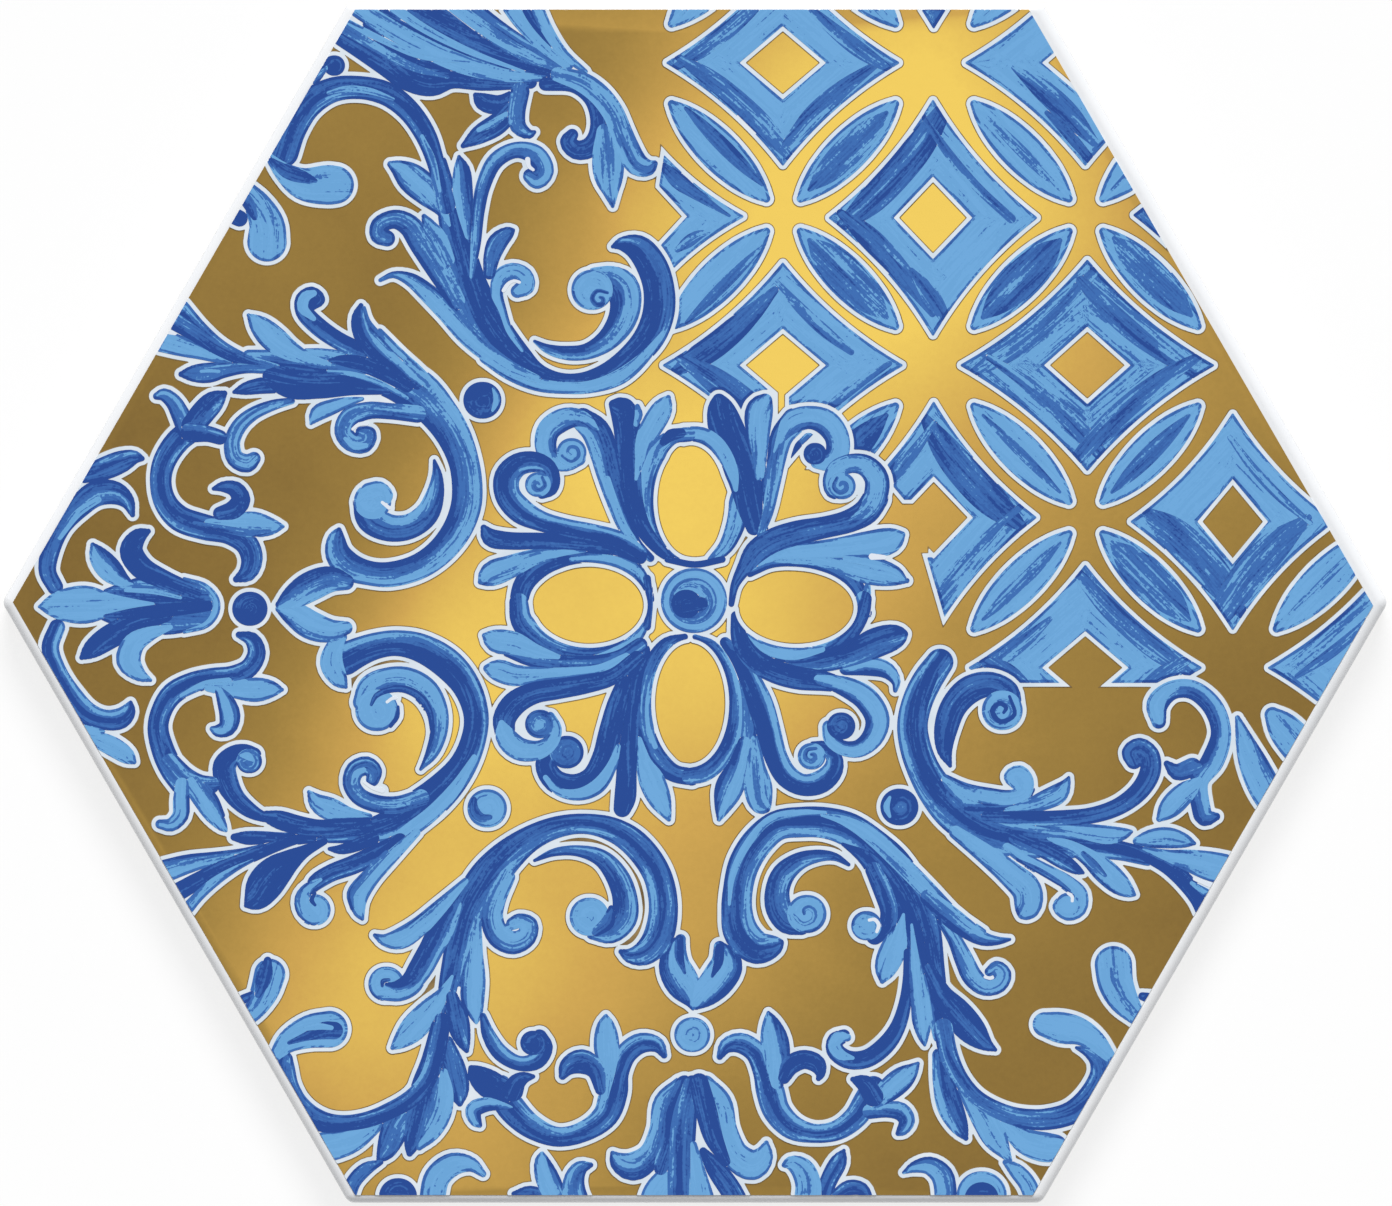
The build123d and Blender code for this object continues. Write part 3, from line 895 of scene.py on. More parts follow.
def north_left_leaves():
    """Leaves and a curl along the stem."""
    return [
        brush("mll", (-45.9, 47, .1), (-44, 47.8, .3), (-41.5, 47.1, .8), (-38.8, 45, 1.2),
              (-36, 42.2, 1.3), (-33.2, 39, 1.3), (-30, 36.2, 1.1), (-26.5, 34, .8), (-23, 32.6, .4)),
        brush("dms", (-34.8, 44, 1.1), (-37.4, 48.5, 1.55), (-39.8, 52.3, 1.65), (-41.7, 55, 1.45),
              (-43.8, 55.9, 1.2), (-46, 55, 1.1), (-46.1, 53.6, 1.1), (-44.9, 53.1, 1)),
        brush("mms", (-36, 50, .8), (-37.5, 53, 1.2), (-38.8, 55, .8), (-39.5, 56.3, .2)),
        brush("mls", (-35.8, 55, .05), (-37.2, 57.6, .9), (-39, 59.9, 1.9), (-41.2, 61.8, 2),
              (-43, 63.2, 1.1), (-44.4, 63.9, .3)),
        brush("lmd", (-33, 53.5, .4), (-33.5, 57, 1), (-33.9, 60.5, 1.3), (-34, 63, 1.05),
              (-34.4, 65, .1)),
        brush("smd", (-32.6, 47.5, .1), (-32, 52, .55), (-31.6, 57, .75), (-30.8, 61, .9),
              (-29, 64.5, 1), (-26, 66, 1), (-23.2, 65.2, 1.3), (-22.1, 63, 1.35), (-23, 61.7, 1.2),
              (-24, 62.2, .9)),
        brush("www", (-24.4, 64.6, .2), (-24.2, 63.6, .1), (-23.6, 63.1, .05)),
    ]


def north_left_foot():
    """The stem's far end, and the curls that meet it from the next side."""
    return [
        brush("mde", (-36.3, 58, 1.2), (-37.6, 63.5, 1.1), (-39.3, 68.2, 1.35), (-41.8, 71.8, 1.45),
              (-45, 74.2, 1.55), (-49, 75.1, 1.5), (-53, 74.7, 1.65), (-56.5, 72.5, 1.85),
              (-58.8, 69, 1.95), (-60, 65.7, 2.05)),
        brush("lsl", (-44, 73.4, .05), (-47.5, 74.6, .3), (-51, 74.9, .25), (-53.5, 74.3, .05)),
        brush("lsl", (-37.2, 60, .05), (-38.2, 64.5, .25), (-39.8, 68, .1)),
        brush("lsl", (-62.3, 65.2, .3), (-60, 62.8, 1.2), (-57, 61, 2.15), (-53.5, 60.9, 2.7),
              (-52.5, 60.9, 2.6)),
        brush("ddm", (-61.8, 64.5, .2), (-59.5, 62.8, .8), (-57, 62, .7), (-55.3, 61.5, .1)),
        brush("lsl", (-62.4, 52.6, 2.7), (-62.4, 55, 2.4), (-63.8, 58, 1.8), (-66, 60.5, 1.2)),
        brush("ddm", (-64.2, 56.2, .3), (-65, 58, .7), (-66.2, 59.8, .6)),
        disc("ddd", -52.6, 78.3, 1.3),
        brush("mmm", (-54, 77.9, .3), (-55.5, 76.7, .9)),
    ]


def north_left():
    """The left half of the north side."""
    return north_left_scroll() + north_left_leaves() + north_left_foot()


def north_plume():
    """The plume at the top, with its long tips and the small leaves under it."""
    return [
        brush("ddm", (-20, 77.6, 1), (-27, 79.4, 3), (-34, 82.3, 5), (-42, 86, 6.5)),
        brush("ddd", (-24, 75.9, .8), (-31, 76, 1.2), (-35.5, 76.2, 1.1), (-38.5, 76, 2),
              (-41.5, 77, 2.3), (-45, 79.4, 2.3), (-49, 81.8, 2), (-53.5, 84.3, 1.6)),
        brush("sls", (-22, 76.4, .3), (-28, 76.9, .8), (-34, 78.5, 1.2), (-40, 81.2, 1.2),
              (-46, 84.6, 1.2), (-51, 88, 1.2)),
        brush("ded", (-20.5, 77.8, .7), (-28, 79.7, 1.2), (-35, 82.6, 1.4), (-43, 87, 1.6)),
        brush("lsl", (-25, 77.4, .02), (-33, 80.4, .3), (-40, 84, .5), (-45.5, 88, .6)),
        brush("lsl", (-33, 78.8, .02), (-40, 79.6, .2), (-46, 82.2, .3), (-52, 85.2, .4)),
        brush("mmm", (-36, 76.6, .05), (-41, 78, .4), (-47, 81.2, .5), (-53, 84.8, .6)),
        brush("mem", (-19.5, 78.2, .8), (-25, 80.7, 1.4), (-30, 84, 1.6), (-35, 88, 1.8)),
        brush("lsm", (-22, 78.8, .2), (-27.5, 81.6, .7), (-32, 84.6, .8), (-36.5, 88, .8)),
        brush("lsl", (-18.5, 78.4, .6), (-22.3, 81.8, 1.1), (-25.3, 85, 1.2), (-27.6, 88.4, 1.3)),
        brush("ddm", (-18.2, 79, .1), (-21.4, 82, .3), (-23.8, 85, .4), (-25.6, 88.4, .4)),
        brush("sll", (-16, 77.4, .2), (-19.2, 80.1, .5), (-21.7, 83.8, .7), (-23.6, 88.2, .8)),
        brush("dde", (-21.8, 75.6, .8), (-17.6, 75.5, 1), (-15, 73.6, 1.1), (-14, 70.5, 1.1),
              (-14.2, 67.8, 1.3), (-15.4, 66.3, 1.3), (-17.3, 66, 1.2), (-18.5, 67.2, 1),
              (-17.9, 68.2, .7)),
        brush("lml", (-13, 68.5, 1.2), (-12.7, 65, 2.1), (-12.6, 62.5, 2), (-12.3, 60, 1),
              (-12, 57.8, .1)),
        brush("sml", (-20, 77, .9), (-16.5, 75.9, 1.3), (-14, 74.1, 1.4), (-12, 71.5, 1.4),
              (-10.9, 69, 1.4), (-9.8, 66.3, 1.5), (-8.5, 64, 1.5), (-6.9, 63.4, 1), (-5.9, 64, .3)),
        brush("ddd", (-32, 74, .2), (-30.8, 73, 1.1), (-28.5, 72.6, 1.2), (-25.5, 74, 1)),
        brush("mde", (-26.5, 72, 1), (-28.8, 69.8, 1.4), (-31.3, 68.3, 1.2), (-33.8, 66.6, .2)),
        brush("sll", (-27.5, 71.2, .2), (-29.5, 69.9, .4), (-31.5, 68.9, .2)),
        brush("mmm", (-25.5, 74.5, 1.2), (-26, 71.5, 1.1), (-25.8, 69.5, 1), (-24.2, 68.3, .5),
              (-23.4, 68.6, .1)),
    ]


# Ornament of the east side

def east_low_scroll():
    """The stem from the middle, with its curled ends."""
    return [
        brush("sds", (35.7, -8.7, 1.8), (33.9, -11.3, 2), (32.4, -14.5, 2.05), (31.7, -17.8, 2.05),
              (32.1, -20.9, 2.1), (33.3, -24.3, 2.2), (35.3, -27.6, 2.5), (38.3, -30.6, 3),
              (42.5, -33, 3.2), (47, -34.3, 2.6), (52, -35, 2.1), (57, -35.5, 1.6), (62, -36.2, 1.2),
              (66, -37, 1.2)),
        brush("ddd", (34.4, -10.6, .9), (32.9, -14.5, 1), (32.5, -18.5, .9), (33.4, -23, .8),
              (36, -27.6, .5)),
        brush("med", (37.2, -23.8, .1), (36.4, -21.5, .95), (36.6, -18.3, 1.55), (37.8, -15, 1.75),
              (40.2, -12.6, 1.85), (43.2, -11.9, 1.6), (45.6, -13, 1.45), (46.2, -15, 1.3)),
        disc("lsl", 44.8, -15.7, 2.7),
        curl("dde", 44.7, -15.7, 2.3, 60, -470),
        brush("mdm", (40, -30, .6), (44, -30.1, .7), (47.5, -29.4, .6), (49.2, -27.3, .2)),
        brush("sll", (36.5, -25.6, .4), (39.5, -27.4, .9), (43, -28.2, 1), (46, -28.4, .9),
              (48, -27.7, .9), (48.3, -26, .9), (47.3, -24.9, 1), (46.1, -25.4, .9),
              (46.7, -26.4, .6)),
        brush("lls", (54.5, -25.5, .05), (54.1, -26.4, .5), (53, -27.8, 1.25), (51, -28.8, 1.25),
              (48.5, -29.7, .8), (45.5, -30.4, .3)),
    ]


def east_low_leaves():
    """Leaves and a curl along the stem."""
    return [
        brush("lls", (38, -33.5, .8), (42.5, -36.8, 1.3), (46, -39.6, 1.7), (48.4, -42, 2),
              (48.5, -44.3, 1.7), (47.8, -45.4, .6)),
        brush("ddm", (46.5, -34.3, .6), (51, -36.2, .95), (53.8, -37.8, .95), (55.6, -38.9, .55),
              (56.6, -39.4, .05)),
        brush("lls", (45.5, -35.7, .5), (48.5, -37.7, .75), (51.5, -39.3, .85), (54.3, -40.9, .95),
              (56.1, -42.6, 1), (55.9, -44.6, 1), (54.4, -45.2, 1), (53.1, -44.3, .8),
              (53.8, -43.3, .7)),
        disc("lll", 54.4, -44, 1.5),
        brush("www", (54.4, -42.4, .04), (55, -42.9, .06), (55, -43.5, .01)),
        brush("dem", (47, -37.5, .02), (50, -39, .25), (53, -40.8, .2), (54.6, -42, .02)),
        brush("lls", (51.5, -34.4, .02), (54.2, -35.3, .6), (57.4, -37.2, 1.1), (59.8, -39.2, 1.6),
              (61.8, -41, 1.4), (63.2, -42.1, .7), (64.1, -42.6, .05)),
        brush("dem", (56.6, -36.6, .2), (58.2, -38.2, .4), (59.8, -39.8, .1)),
    ]


def east_low_foot():
    """Long leaves from the stem out to the rim."""
    return [
        brush("edd", (60, -35, .5), (63.2, -35.7, .5), (66, -36.9, .8), (69, -38.5, 1),
              (71.4, -40.6, 1.1), (73.4, -43.3, 1), (74.5, -46, .9)),
        brush("lls", (65.5, -35.9, .1), (69, -36.9, .7), (72, -37.6, 1.4), (75.5, -38.5, 2),
              (80, -39.5, 2)),
        brush("www", (72.8, -40.3, .05), (75.8, -41.5, .2)),
        brush("lls", (72.4, -40.9, .1), (74.6, -42.4, .5), (77, -44.4, .8)),
        brush("lls", (50, -32.3, .3), (54, -32.8, .5), (57.5, -33.5, 1.05), (60.5, -33.9, 1.15),
              (62.4, -33.7, .7), (63.6, -33.4, .1)),
        brush("lls", (64.5, -34.8, .5), (66.5, -34.4, 1.15), (69, -34.3, 1.35), (71.3, -34.7, .85),
              (72.8, -35.1, .1)),
    ]


def east_low_tendril():
    """The tendril along the lattice."""
    return [
        brush("ddm", (42.5, -31.2, .6), (47, -31.4, .8), (53.5, -31.4, .95), (58, -31, 1),
              (62, -29.6, 1.1), (65, -27.2, 1.25), (66.4, -24.5, 1.35), (66.2, -22.2, 1.3),
              (64.8, -21.1, 1.2), (63.6, -21.9, 1.2), (64, -23.1, 1)),
        brush("lmd", (67.6, -17.3, .9), (67.4, -14.8, 1.4), (69.5, -12.8, 1.2), (72.5, -12.7, 1.2),
              (75.5, -15.2, 1.3), (76.7, -19, 1.3), (75.5, -23, 1.5), (73.5, -26, 1.2),
              (73.7, -29.5, 1.2), (74.3, -31.3, 1.1), (76, -31.2, .4)),
        brush("msm", (68.8, -23.5, .3), (70.3, -24.7, 1), (72.5, -24, 1.2)),
        brush("lls", (67.7, -17, .6), (67.3, -14.9, 1), (68.6, -13.1, .6), (70.5, -12.4, .05)),
        brush("lll", (73.5, -26, .4), (71.3, -27.8, 1.4), (69.3, -29.8, 1.4), (67.7, -31.5, .3)),
    ]


def east_low_rim():
    """Leaf ends that the rim cuts off."""
    return [
        brush("mll", (79.1, -16.8, .2), (80.1, -20, 1.1), (81.4, -23.5, 1.9), (83.4, -27.5, 2.2),
              (86, -31, 2)),
        brush("lsl", (84.2, -16.4, 1), (86, -18.5, 2.2), (89, -22, 2.6)),
    ]


def east_low():
    """The scroll in the south-east."""
    return east_low_scroll() + east_low_leaves() + east_low_foot() + east_low_tendril() + east_low_rim()


def corner_dots():
    """Three dots between the rosette and the scrolls, each with a stroke of another tone."""
    return [
        disc("lll", -30.3, -30, 2.6),
        brush("ded", (-32.2, -28.7, .2), (-32.2, -30.2, .5), (-31.2, -31.4, .5), (-29.9, -31.3, .2)),
        disc("ddd", -31, 29.5, 2.5),
        brush("lll", (-29.4, 31.2, .05), (-28.9, 29.6, .3), (-29.5, 28, .05)),
        disc("ddm", 29.8, -29.8, 2.5),
        brush("lll", (28.4, -28.4, .05), (27.9, -29.8, .3), (28.4, -31.2, .05)),
    ]


# The rosette in the middle

# Gold ovals between the petals, out to the blue: centre x and y, and the two half lengths
OVALS = [(-.57, 14.8, 5.5, 8.7), (14.75, -.75, 8.95, 5.85), (-15.4, -.4, 8.5, 6.2),
         (-.7, -14.65, 5.7, 9.35)]


def outside_ovals(x, y):
    """Signed distance that is negative away from the gold ovals."""
    field = np.full((len(y), len(x)), -FAR)
    for cx, cy, a, b in OVALS:
        dx = (x - cx) / a
        dy = ((y - cy) / b)[:, None]
        q = np.maximum(np.hypot(dx, dy), 0.01)
        field = np.maximum(field, (1 - q) * q / np.maximum(np.hypot(dx / a, dy / b), 0.001))
    return field


def rosette_north_east():
    """The rosette's leaves between its north and east ovals."""
    return [
        brush("lsm", (2.5, 6.2, .5), (4.5, 8.2, .9), (5.8, 11, 1.2), (6.4, 14, 1.4), (7, 17, 1.2)),
        brush("edd", (9.6, 10.4, .8), (10.3, 14, .9), (10.7, 18, .9), (10.8, 21, .7)),
        brush("ddd", (8.6, 11, 1), (8, 14, 1.7), (7.2, 18, 2.2), (5.8, 22, 2.5), (4.5, 25.5, 2.4),
              (3.8, 28, 1.8), (3.5, 29.5, .8)),
        brush("mls", (9.4, 18.5, .5), (9.4, 22, 1), (9.2, 25, 1.6), (9.4, 28, 1.8), (10.2, 29.4, .9)),
        brush("lls", (-1.5, 24.5, 1), (1, 24.4, 1), (3, 23.2, 1), (4.6, 21, .9), (5.6, 18.6, .6),
              (5.9, 16.5, .2)),
        brush("mel", (9.4, 9.6, .3), (10.6, 13, .6), (11.3, 17, .9), (11.9, 21, 1.2), (12.7, 24.3, 1.5),
              (14.5, 26.5, 1.7)),
        brush("lle", (11.6, 22, .02), (12.8, 24.4, .7), (14.4, 26.4, 1.5), (16.8, 27, 1.5),
              (19.2, 26.2, 1.7), (20.7, 24.1, 1.6), (20.7, 21.8, 1.5), (19.4, 20.5, 1.1),
              (17.8, 20.5, .8)),
        disc("dde", 17.5, 21.7, 1.4),
        brush("emd", (8, 4.4, .5), (11, 5.9, .7), (15, 6.2, .8), (19, 5.6, 1), (22.4, 3.5, 1.2),
              (24, .8, 1.1), (24.6, -1.5, 1)),
        brush("lll", (25.2, 2.8, .2), (25, .8, .5), (24.9, -1.8, .5)),
        brush("mls", (12, 6.6, .6), (18, 6.5, 1.1), (22, 5.6, 1.4), (25.5, 4.6, 1.8), (28.5, 4, 1.4),
              (30.9, 3.2, .2)),
        brush("lll", (8, 5.6, .5), (12, 7.2, .8), (17, 7.7, 1), (21, 8, 1.3), (25, 8.5, 1.7),
              (28.3, 9, 1.7), (30.2, 9.9, .3)),
        brush("sll", (22, 6.4, .3), (26, 5.9, .6), (29.5, 4.6, .4), (30.6, 3.5, .1)),
        brush("www", (25.8, 6.7, .3), (27.6, 6.6, .15)),
        brush("dee", (5.3, -.2, .25), (5.8, 2.5, .45), (7.3, 5.2, .95), (8.9, 7.4, 1.5), (11.3, 9, 1.6),
              (15, 10.2, 1.6), (19, 11, 1.4), (22.5, 11.9, 1.5), (25, 13.3, 1.7), (26.3, 15.2, 1.7)),
        brush("mlm", (22.6, 12, .02), (24.8, 13.3, .8), (26.2, 15.2, 1.5), (26.5, 18, 1.6),
              (25, 19.9, 1.4), (22.8, 20.3, 1.2), (20.7, 19.4, 1.2), (19.7, 17.8, .9), (20.1, 16.3, .9),
              (21.2, 15.9, .7)),
        disc("sll", 21.4, 17, 1.75),
        curl("mem", 21.4, 17, 1.35, 120, 400),
    ]


def rosette_north_west():
    """The rosette's leaves between its north and west ovals."""
    return [
        brush("msl", (-1, 24.5, .9), (-3, 24.3, .9), (-4.8, 23, 1.1), (-6, 21, 1.3), (-7, 18, 1.4),
              (-7.2, 14, 1.4), (-6.5, 11, 1.2), (-5.2, 8.8, 1), (-3.4, 6.8, .7), (-1.5, 6, .3)),
        brush("ddd", (-2, 24.7, .5), (-3.5, 24.4, .7), (-4.6, 23.4, .4)),
        brush("ddd", (-11.9, 28.9, .5), (-10.5, 28, 1.7), (-9.9, 25.5, 1.8), (-9.7, 22, 1.7),
              (-9.5, 18, 1.5), (-8.9, 14, 1.3), (-7.4, 10.5, 1), (-5, 7.6, .7), (-3, 6, .3)),
        brush("sll", (-8.4, 28.6, .2), (-8.2, 27.4, .4), (-8.6, 26, .2)),
        brush("lll", (-3.9, 29.9, .2), (-4.8, 28.2, 1.3), (-6.1, 26, 1.5), (-7.4, 23.5, 1.1),
              (-8.1, 20.5, .5), (-8.6, 18, .02)),
        brush("led", (-6.5, 6.5, .4), (-8.6, 8.5, .7), (-10.3, 11.5, 1), (-11.5, 15, 1.3),
              (-12.5, 18.5, 1.6), (-13.3, 22, 1.9), (-14.5, 25, 1.9), (-16.4, 26.7, 1.5)),
        brush("lll", (-8, 7.6, .4), (-10.4, 11, .5), (-12, 15, .5), (-12.8, 18, .3)),
        brush("ell", (-14.2, 25.2, .05), (-15.8, 26.5, .8), (-17.5, 27, 1.2), (-19.4, 26.6, 1.5),
              (-21.3, 25.2, 1.5), (-21.8, 23, 1.4), (-21, 21, 1.2), (-18.8, 20.3, 1), (-17, 21, .9)),
        disc("lll", -18, 21.9, 1.9),
        curl("mem", -18, 21.9, 1.45, 200, 400),
        brush("ddd", (-25.4, -2, 1.2), (-25.6, .5, 1.2), (-24.9, 2.8, 1.3), (-22.9, 4.9, 1.3),
              (-20, 6.2, 1.1), (-16, 6.6, 1), (-12, 6.3, .9), (-9, 5.2, .8), (-7.3, 3, .7),
              (-6.6, .5, .5)),
        brush("mls", (-18, 6.3, .2), (-14, 6.4, .5), (-10.5, 5.6, .7), (-8.2, 4.3, .8), (-7, 2, .4)),
        brush("lll", (-31.3, 3, .2), (-29.6, 4.2, 1.6), (-27, 5.2, 1.5), (-23.5, 6.6, 1),
              (-20, 7.4, .6), (-16, 7.7, .2)),
        brush("ddd", (-8, 6.6, .8), (-12, 8.1, .9), (-17, 8.7, .9), (-22, 9, 1), (-27, 9, 1.1),
              (-29.8, 9.5, 1.1), (-30.8, 10.9, .3)),
        brush("ddl", (-8, 7.3, .8), (-11, 9, 1.2), (-15, 10.1, 1.2), (-19, 10.9, 1.2),
              (-22.5, 11.9, 1.3), (-25.4, 13.4, 1.7), (-27.3, 15.7, 1.7), (-27.4, 18.3, 1.7),
              (-25.8, 20.1, 1.5), (-23.3, 20.5, 1.3), (-21.4, 19.7, 1), (-20.7, 18, .9),
              (-21, 16.6, .8), (-22.3, 15.9, .6)),
        disc("lll", -22.9, 17.2, 1.6),
        curl("mem", -22.9, 17.2, 1.2, 60, -400),
    ]


def rosette_south_west():
    """The rosette's leaves between its south and west ovals."""
    return [
        brush("mmd", (-1.5, -5, .3), (-4, -6.1, .9), (-6, -9, 1.3), (-7.3, -12.5, 1.5),
              (-7.6, -16.5, 1.6), (-7, -20, 1.5), (-5.4, -23, 1.4), (-3, -24.9, 1.1),
              (-.5, -25.4, 1.1)),
        brush("lll", (-3.5, -6.5, .3), (-5.4, -10, .4), (-6.5, -14, .5), (-6.6, -18, .4),
              (-5.8, -21, .2)),
        brush("lll", (-8.2, -20, .3), (-7.4, -23.5, 1), (-6.3, -26, 1.7), (-5.2, -28.5, 1.5),
              (-4.2, -30.7, .6), (-3.8, -31.6, .15)),
        brush("ddd", (-7.6, -7, .9), (-9.2, -11, 1.4), (-9.7, -15, 1.5), (-9.9, -20, 1.4),
              (-10, -25, 1.3), (-10.2, -28.5, 1.4), (-10.6, -30, 1.1)),
        brush("dde", (-10.4, -11.5, .8), (-11.4, -15, 1.3), (-12.4, -19, 1.5), (-13.3, -22.5, 1.5),
              (-15, -25.6, 1.5), (-17.5, -26.8, 1.6), (-20.4, -26, 1.5), (-21.8, -23.6, 1.3),
              (-21, -21.6, 1), (-19.8, -20.9, .8)),
        brush("lll", (-11.2, -21, .2), (-12.2, -24, .6), (-14.2, -26.8, .9), (-17, -28, .7),
              (-20, -27.5, .4), (-21.8, -25.5, .2)),
        disc("mmm", -18.7, -21.8, 2.2),
        brush("led", (-25.7, 0, 1.2), (-25.3, -2.6, 1.4), (-23.2, -5, 1.5), (-20, -6.9, 1.1),
              (-16.5, -7.6, 1.1), (-13, -7.2, 1.2), (-10, -5.7, 1.1), (-8, -3.2, .8), (-7, -.5, .5)),
        brush("lsl", (-17, -8.6, .2), (-13, -7.9, .6), (-10, -6.4, .7), (-8, -4.4, .6),
              (-6.9, -2, .3)),
        brush("dmd", (-27.5, -7.4, .3), (-24, -8.2, .9), (-20, -8.8, 1), (-15, -9, 1.1),
              (-11, -8.2, 1.1), (-8, -6.2, .9)),
        brush("lll", (-30.7, -4.8, .2), (-28.9, -5.6, 1.5), (-26.5, -5.9, 1.5), (-23.5, -7, .9),
              (-20, -7.9, .2)),
        brush("lll", (-30.3, -9.6, .4), (-28.6, -9.9, 1.4), (-26.3, -10.6, 1.4), (-22.5, -10.5, .9),
              (-18, -10.2, .6), (-14, -9.7, .5), (-10, -7.8, .3)),
        brush("ded", (-8.5, -8, .8), (-12, -10.8, 1), (-16, -11.9, 1.2), (-20, -12.6, 1.3),
              (-23.5, -13.2, 1.4), (-26.3, -14.7, 1.6), (-27.8, -17, 1.5), (-27.7, -19, 1.3)),
        brush("sll", (-28.2, -17.6, .3), (-27.6, -19.5, 1.3), (-25.7, -21.3, 1.5), (-22.8, -21.5, 1.2),
              (-20.9, -20.2, .9), (-20.4, -18.4, .8), (-21.2, -16.8, .7)),
        disc("mml", -22.6, -17.7, 1.9),
    ]


def rosette_south_east():
    """The rosette's leaves between its south and east ovals."""
    return [
        brush("mmm", (4.6, -6.6, .6), (6.6, -11, 1.3), (7.3, -15, 1.5), (7.4, -19, 1.4), (7, -22, 1)),
        brush("del", (-.8, -25.3, 1), (1.2, -24.9, 1.1), (3.5, -23, 1.2), (5.2, -20, 1.1),
              (5.8, -16.5, .9), (5.5, -12.5, .9), (4.3, -9, .8), (2.5, -6.3, .6), (0, -5, .2)),
        brush("lld", (7.2, -20.5, .8), (6.3, -24, 1.4), (5, -27, 1.9), (4.2, -29.3, 1.2),
              (3.5, -31.6, .15)),
        brush("lml", (8.8, -20, .5), (8.9, -24, 1.2), (9.2, -27, 1.9), (9.6, -29.2, 1.4),
              (10.3, -30, .5)),
        brush("lld", (22, -9.6, .8), (25.5, -9.3, 1.2), (28, -9.9, 1), (29.3, -11.5, .5),
              (29.2, -12.8, .15)),
        brush("dem", (14, -8.8, 1.2), (19, -8.6, 1.3), (23, -7.4, 1.6), (26.5, -5.8, 2), (29, -5, 1.6),
              (30.4, -4.6, .5)),
        brush("ldd", (6.8, -3.5, .4), (9, -6, .8), (12.5, -7.4, 1), (16, -7.6, 1), (19.5, -6.6, 1),
              (22.3, -4.4, 1.3), (24, -1.5, 1.3), (24.6, .5, 1)),
        brush("lll", (7.2, -4.6, .2), (10.5, -7, .5), (14.5, -7.6, .6), (18.5, -6.8, .3)),
        brush("ldd", (4.4, -5.8, .6), (6.4, -8, 1.1), (8.2, -11.5, 1.4), (9.6, -15, 1.7),
              (10.8, -19, 1.6), (11.8, -22.5, 1.5), (13.4, -25.3, 1.5), (15.8, -26.6, 1.4),
              (18.4, -26.1, 1.5), (20.1, -24.4, 1.3), (20.3, -22.6, 1), (19, -21.3, .9),
              (17.3, -21.2, .8)),
        disc("lll", 17, -22.4, 1.75),
        curl("mem", 17, -22.4, 1.3, 60, 400),
        brush("ddd", (6, -2, .6), (6.6, -5.5, 1.1), (8.6, -8.3, 1.4), (11.5, -10, 1.5), (15, -11, 1.5),
              (18.5, -11.4, 1.3), (21, -11.9, 1)),
        brush("lld", (18, -11.2, .5), (22, -12.3, 1.3), (25, -14.1, 1.6), (26.6, -17, 1.6),
              (25.9, -19.6, 1.4), (23.8, -21.3, 1.1), (21.3, -21.1, .9), (19.8, -19.8, .9),
              (19.6, -18.2, .9)),
        disc("dde", 21.3, -18, 1.8),
    ]


def rosette_eye():
    """The eye of the rosette and the two lines beside it."""
    return [
        brush("ddd", (-4, 6.3, .3), (0, 5.55, .3), (4, 6.3, .3)),
        brush("ede", (-7, 3.5, .4), (-6.6, 0, .3), (-7, -3.5, .4)),
        disc("lll", -.15, .3, 4.55),
        disc("mmm", -.3, .2, 3.2),
        brush("lsl", (-2.6, 1.2, .3), (-1.4, 2.2, .5), (.2, 2, .4), (1.3, 1, .2)),
        disc("ddd", -1.3, -.2, 1.9),
        brush("ddd", (-1, -.6, .9), (.9, -.2, .8)),
    ]


def rosette():
    """The whole rosette, with its eye on top."""
    return (rosette_north_east() + rosette_north_west() + rosette_south_west() + rosette_south_east()
            + rosette_eye())


# The lattice in the north-east

# Step of the lattice, and the first place of its wide diamonds, its tall diamonds and its crossings
LATTICE_STEP = 44.1
WIDE_ORIGIN = (12.8, 34.6)
TALL_ORIGIN = (34.8, 12.4)
CROSSING_ORIGIN = (12.9, 56.5)

# Half width and half height of a diamond and of its hole, and how far its sides curve in
WIDE = ((17.3, 14.8), (6.6, 5.6))
TALL = ((14.8, 16.7), (6, 6.3))
SIDE_SAG = 1.1

# A leaf and its darker heart, as (place along it, half width), and the leaf's way out from a crossing
LEAF = [(-6.9, .4), (-5.5, 1.3), (-3.5, 2.2), (-1.5, 2.65), (0, 2.75), (1.5, 2.65), (3.5, 2.2), (5.5, 1.3),
        (6.9, .4)]
HEART = [(-5.6, .1), (-3, 1), (0, 1.3), (3.2, .9), (5.6, .1)]
LEAF_OUT = (9.4, 9.3)

# Straight edges of the lattice: its left side, which leans in near the top, and its foot
LATTICE_LEFT = -5.2
LEAN = 0.16
LEAN_START = 61
LEAN_RISE = 5
LATTICE_FOOT = -11.7
LATTICE_FOOT_END = 78.0

# The gold channel that opens one diamond's hole downwards
CHANNEL_X = 12.6
CHANNEL_HALF = 1.1
CHANNEL_TOP = 32.8


def lattice_place(origin, i, j):
    """A place of the lattice, some steps to the east and to the north of its origin."""
    return origin[0] + LATTICE_STEP * i, origin[1] + LATTICE_STEP * j


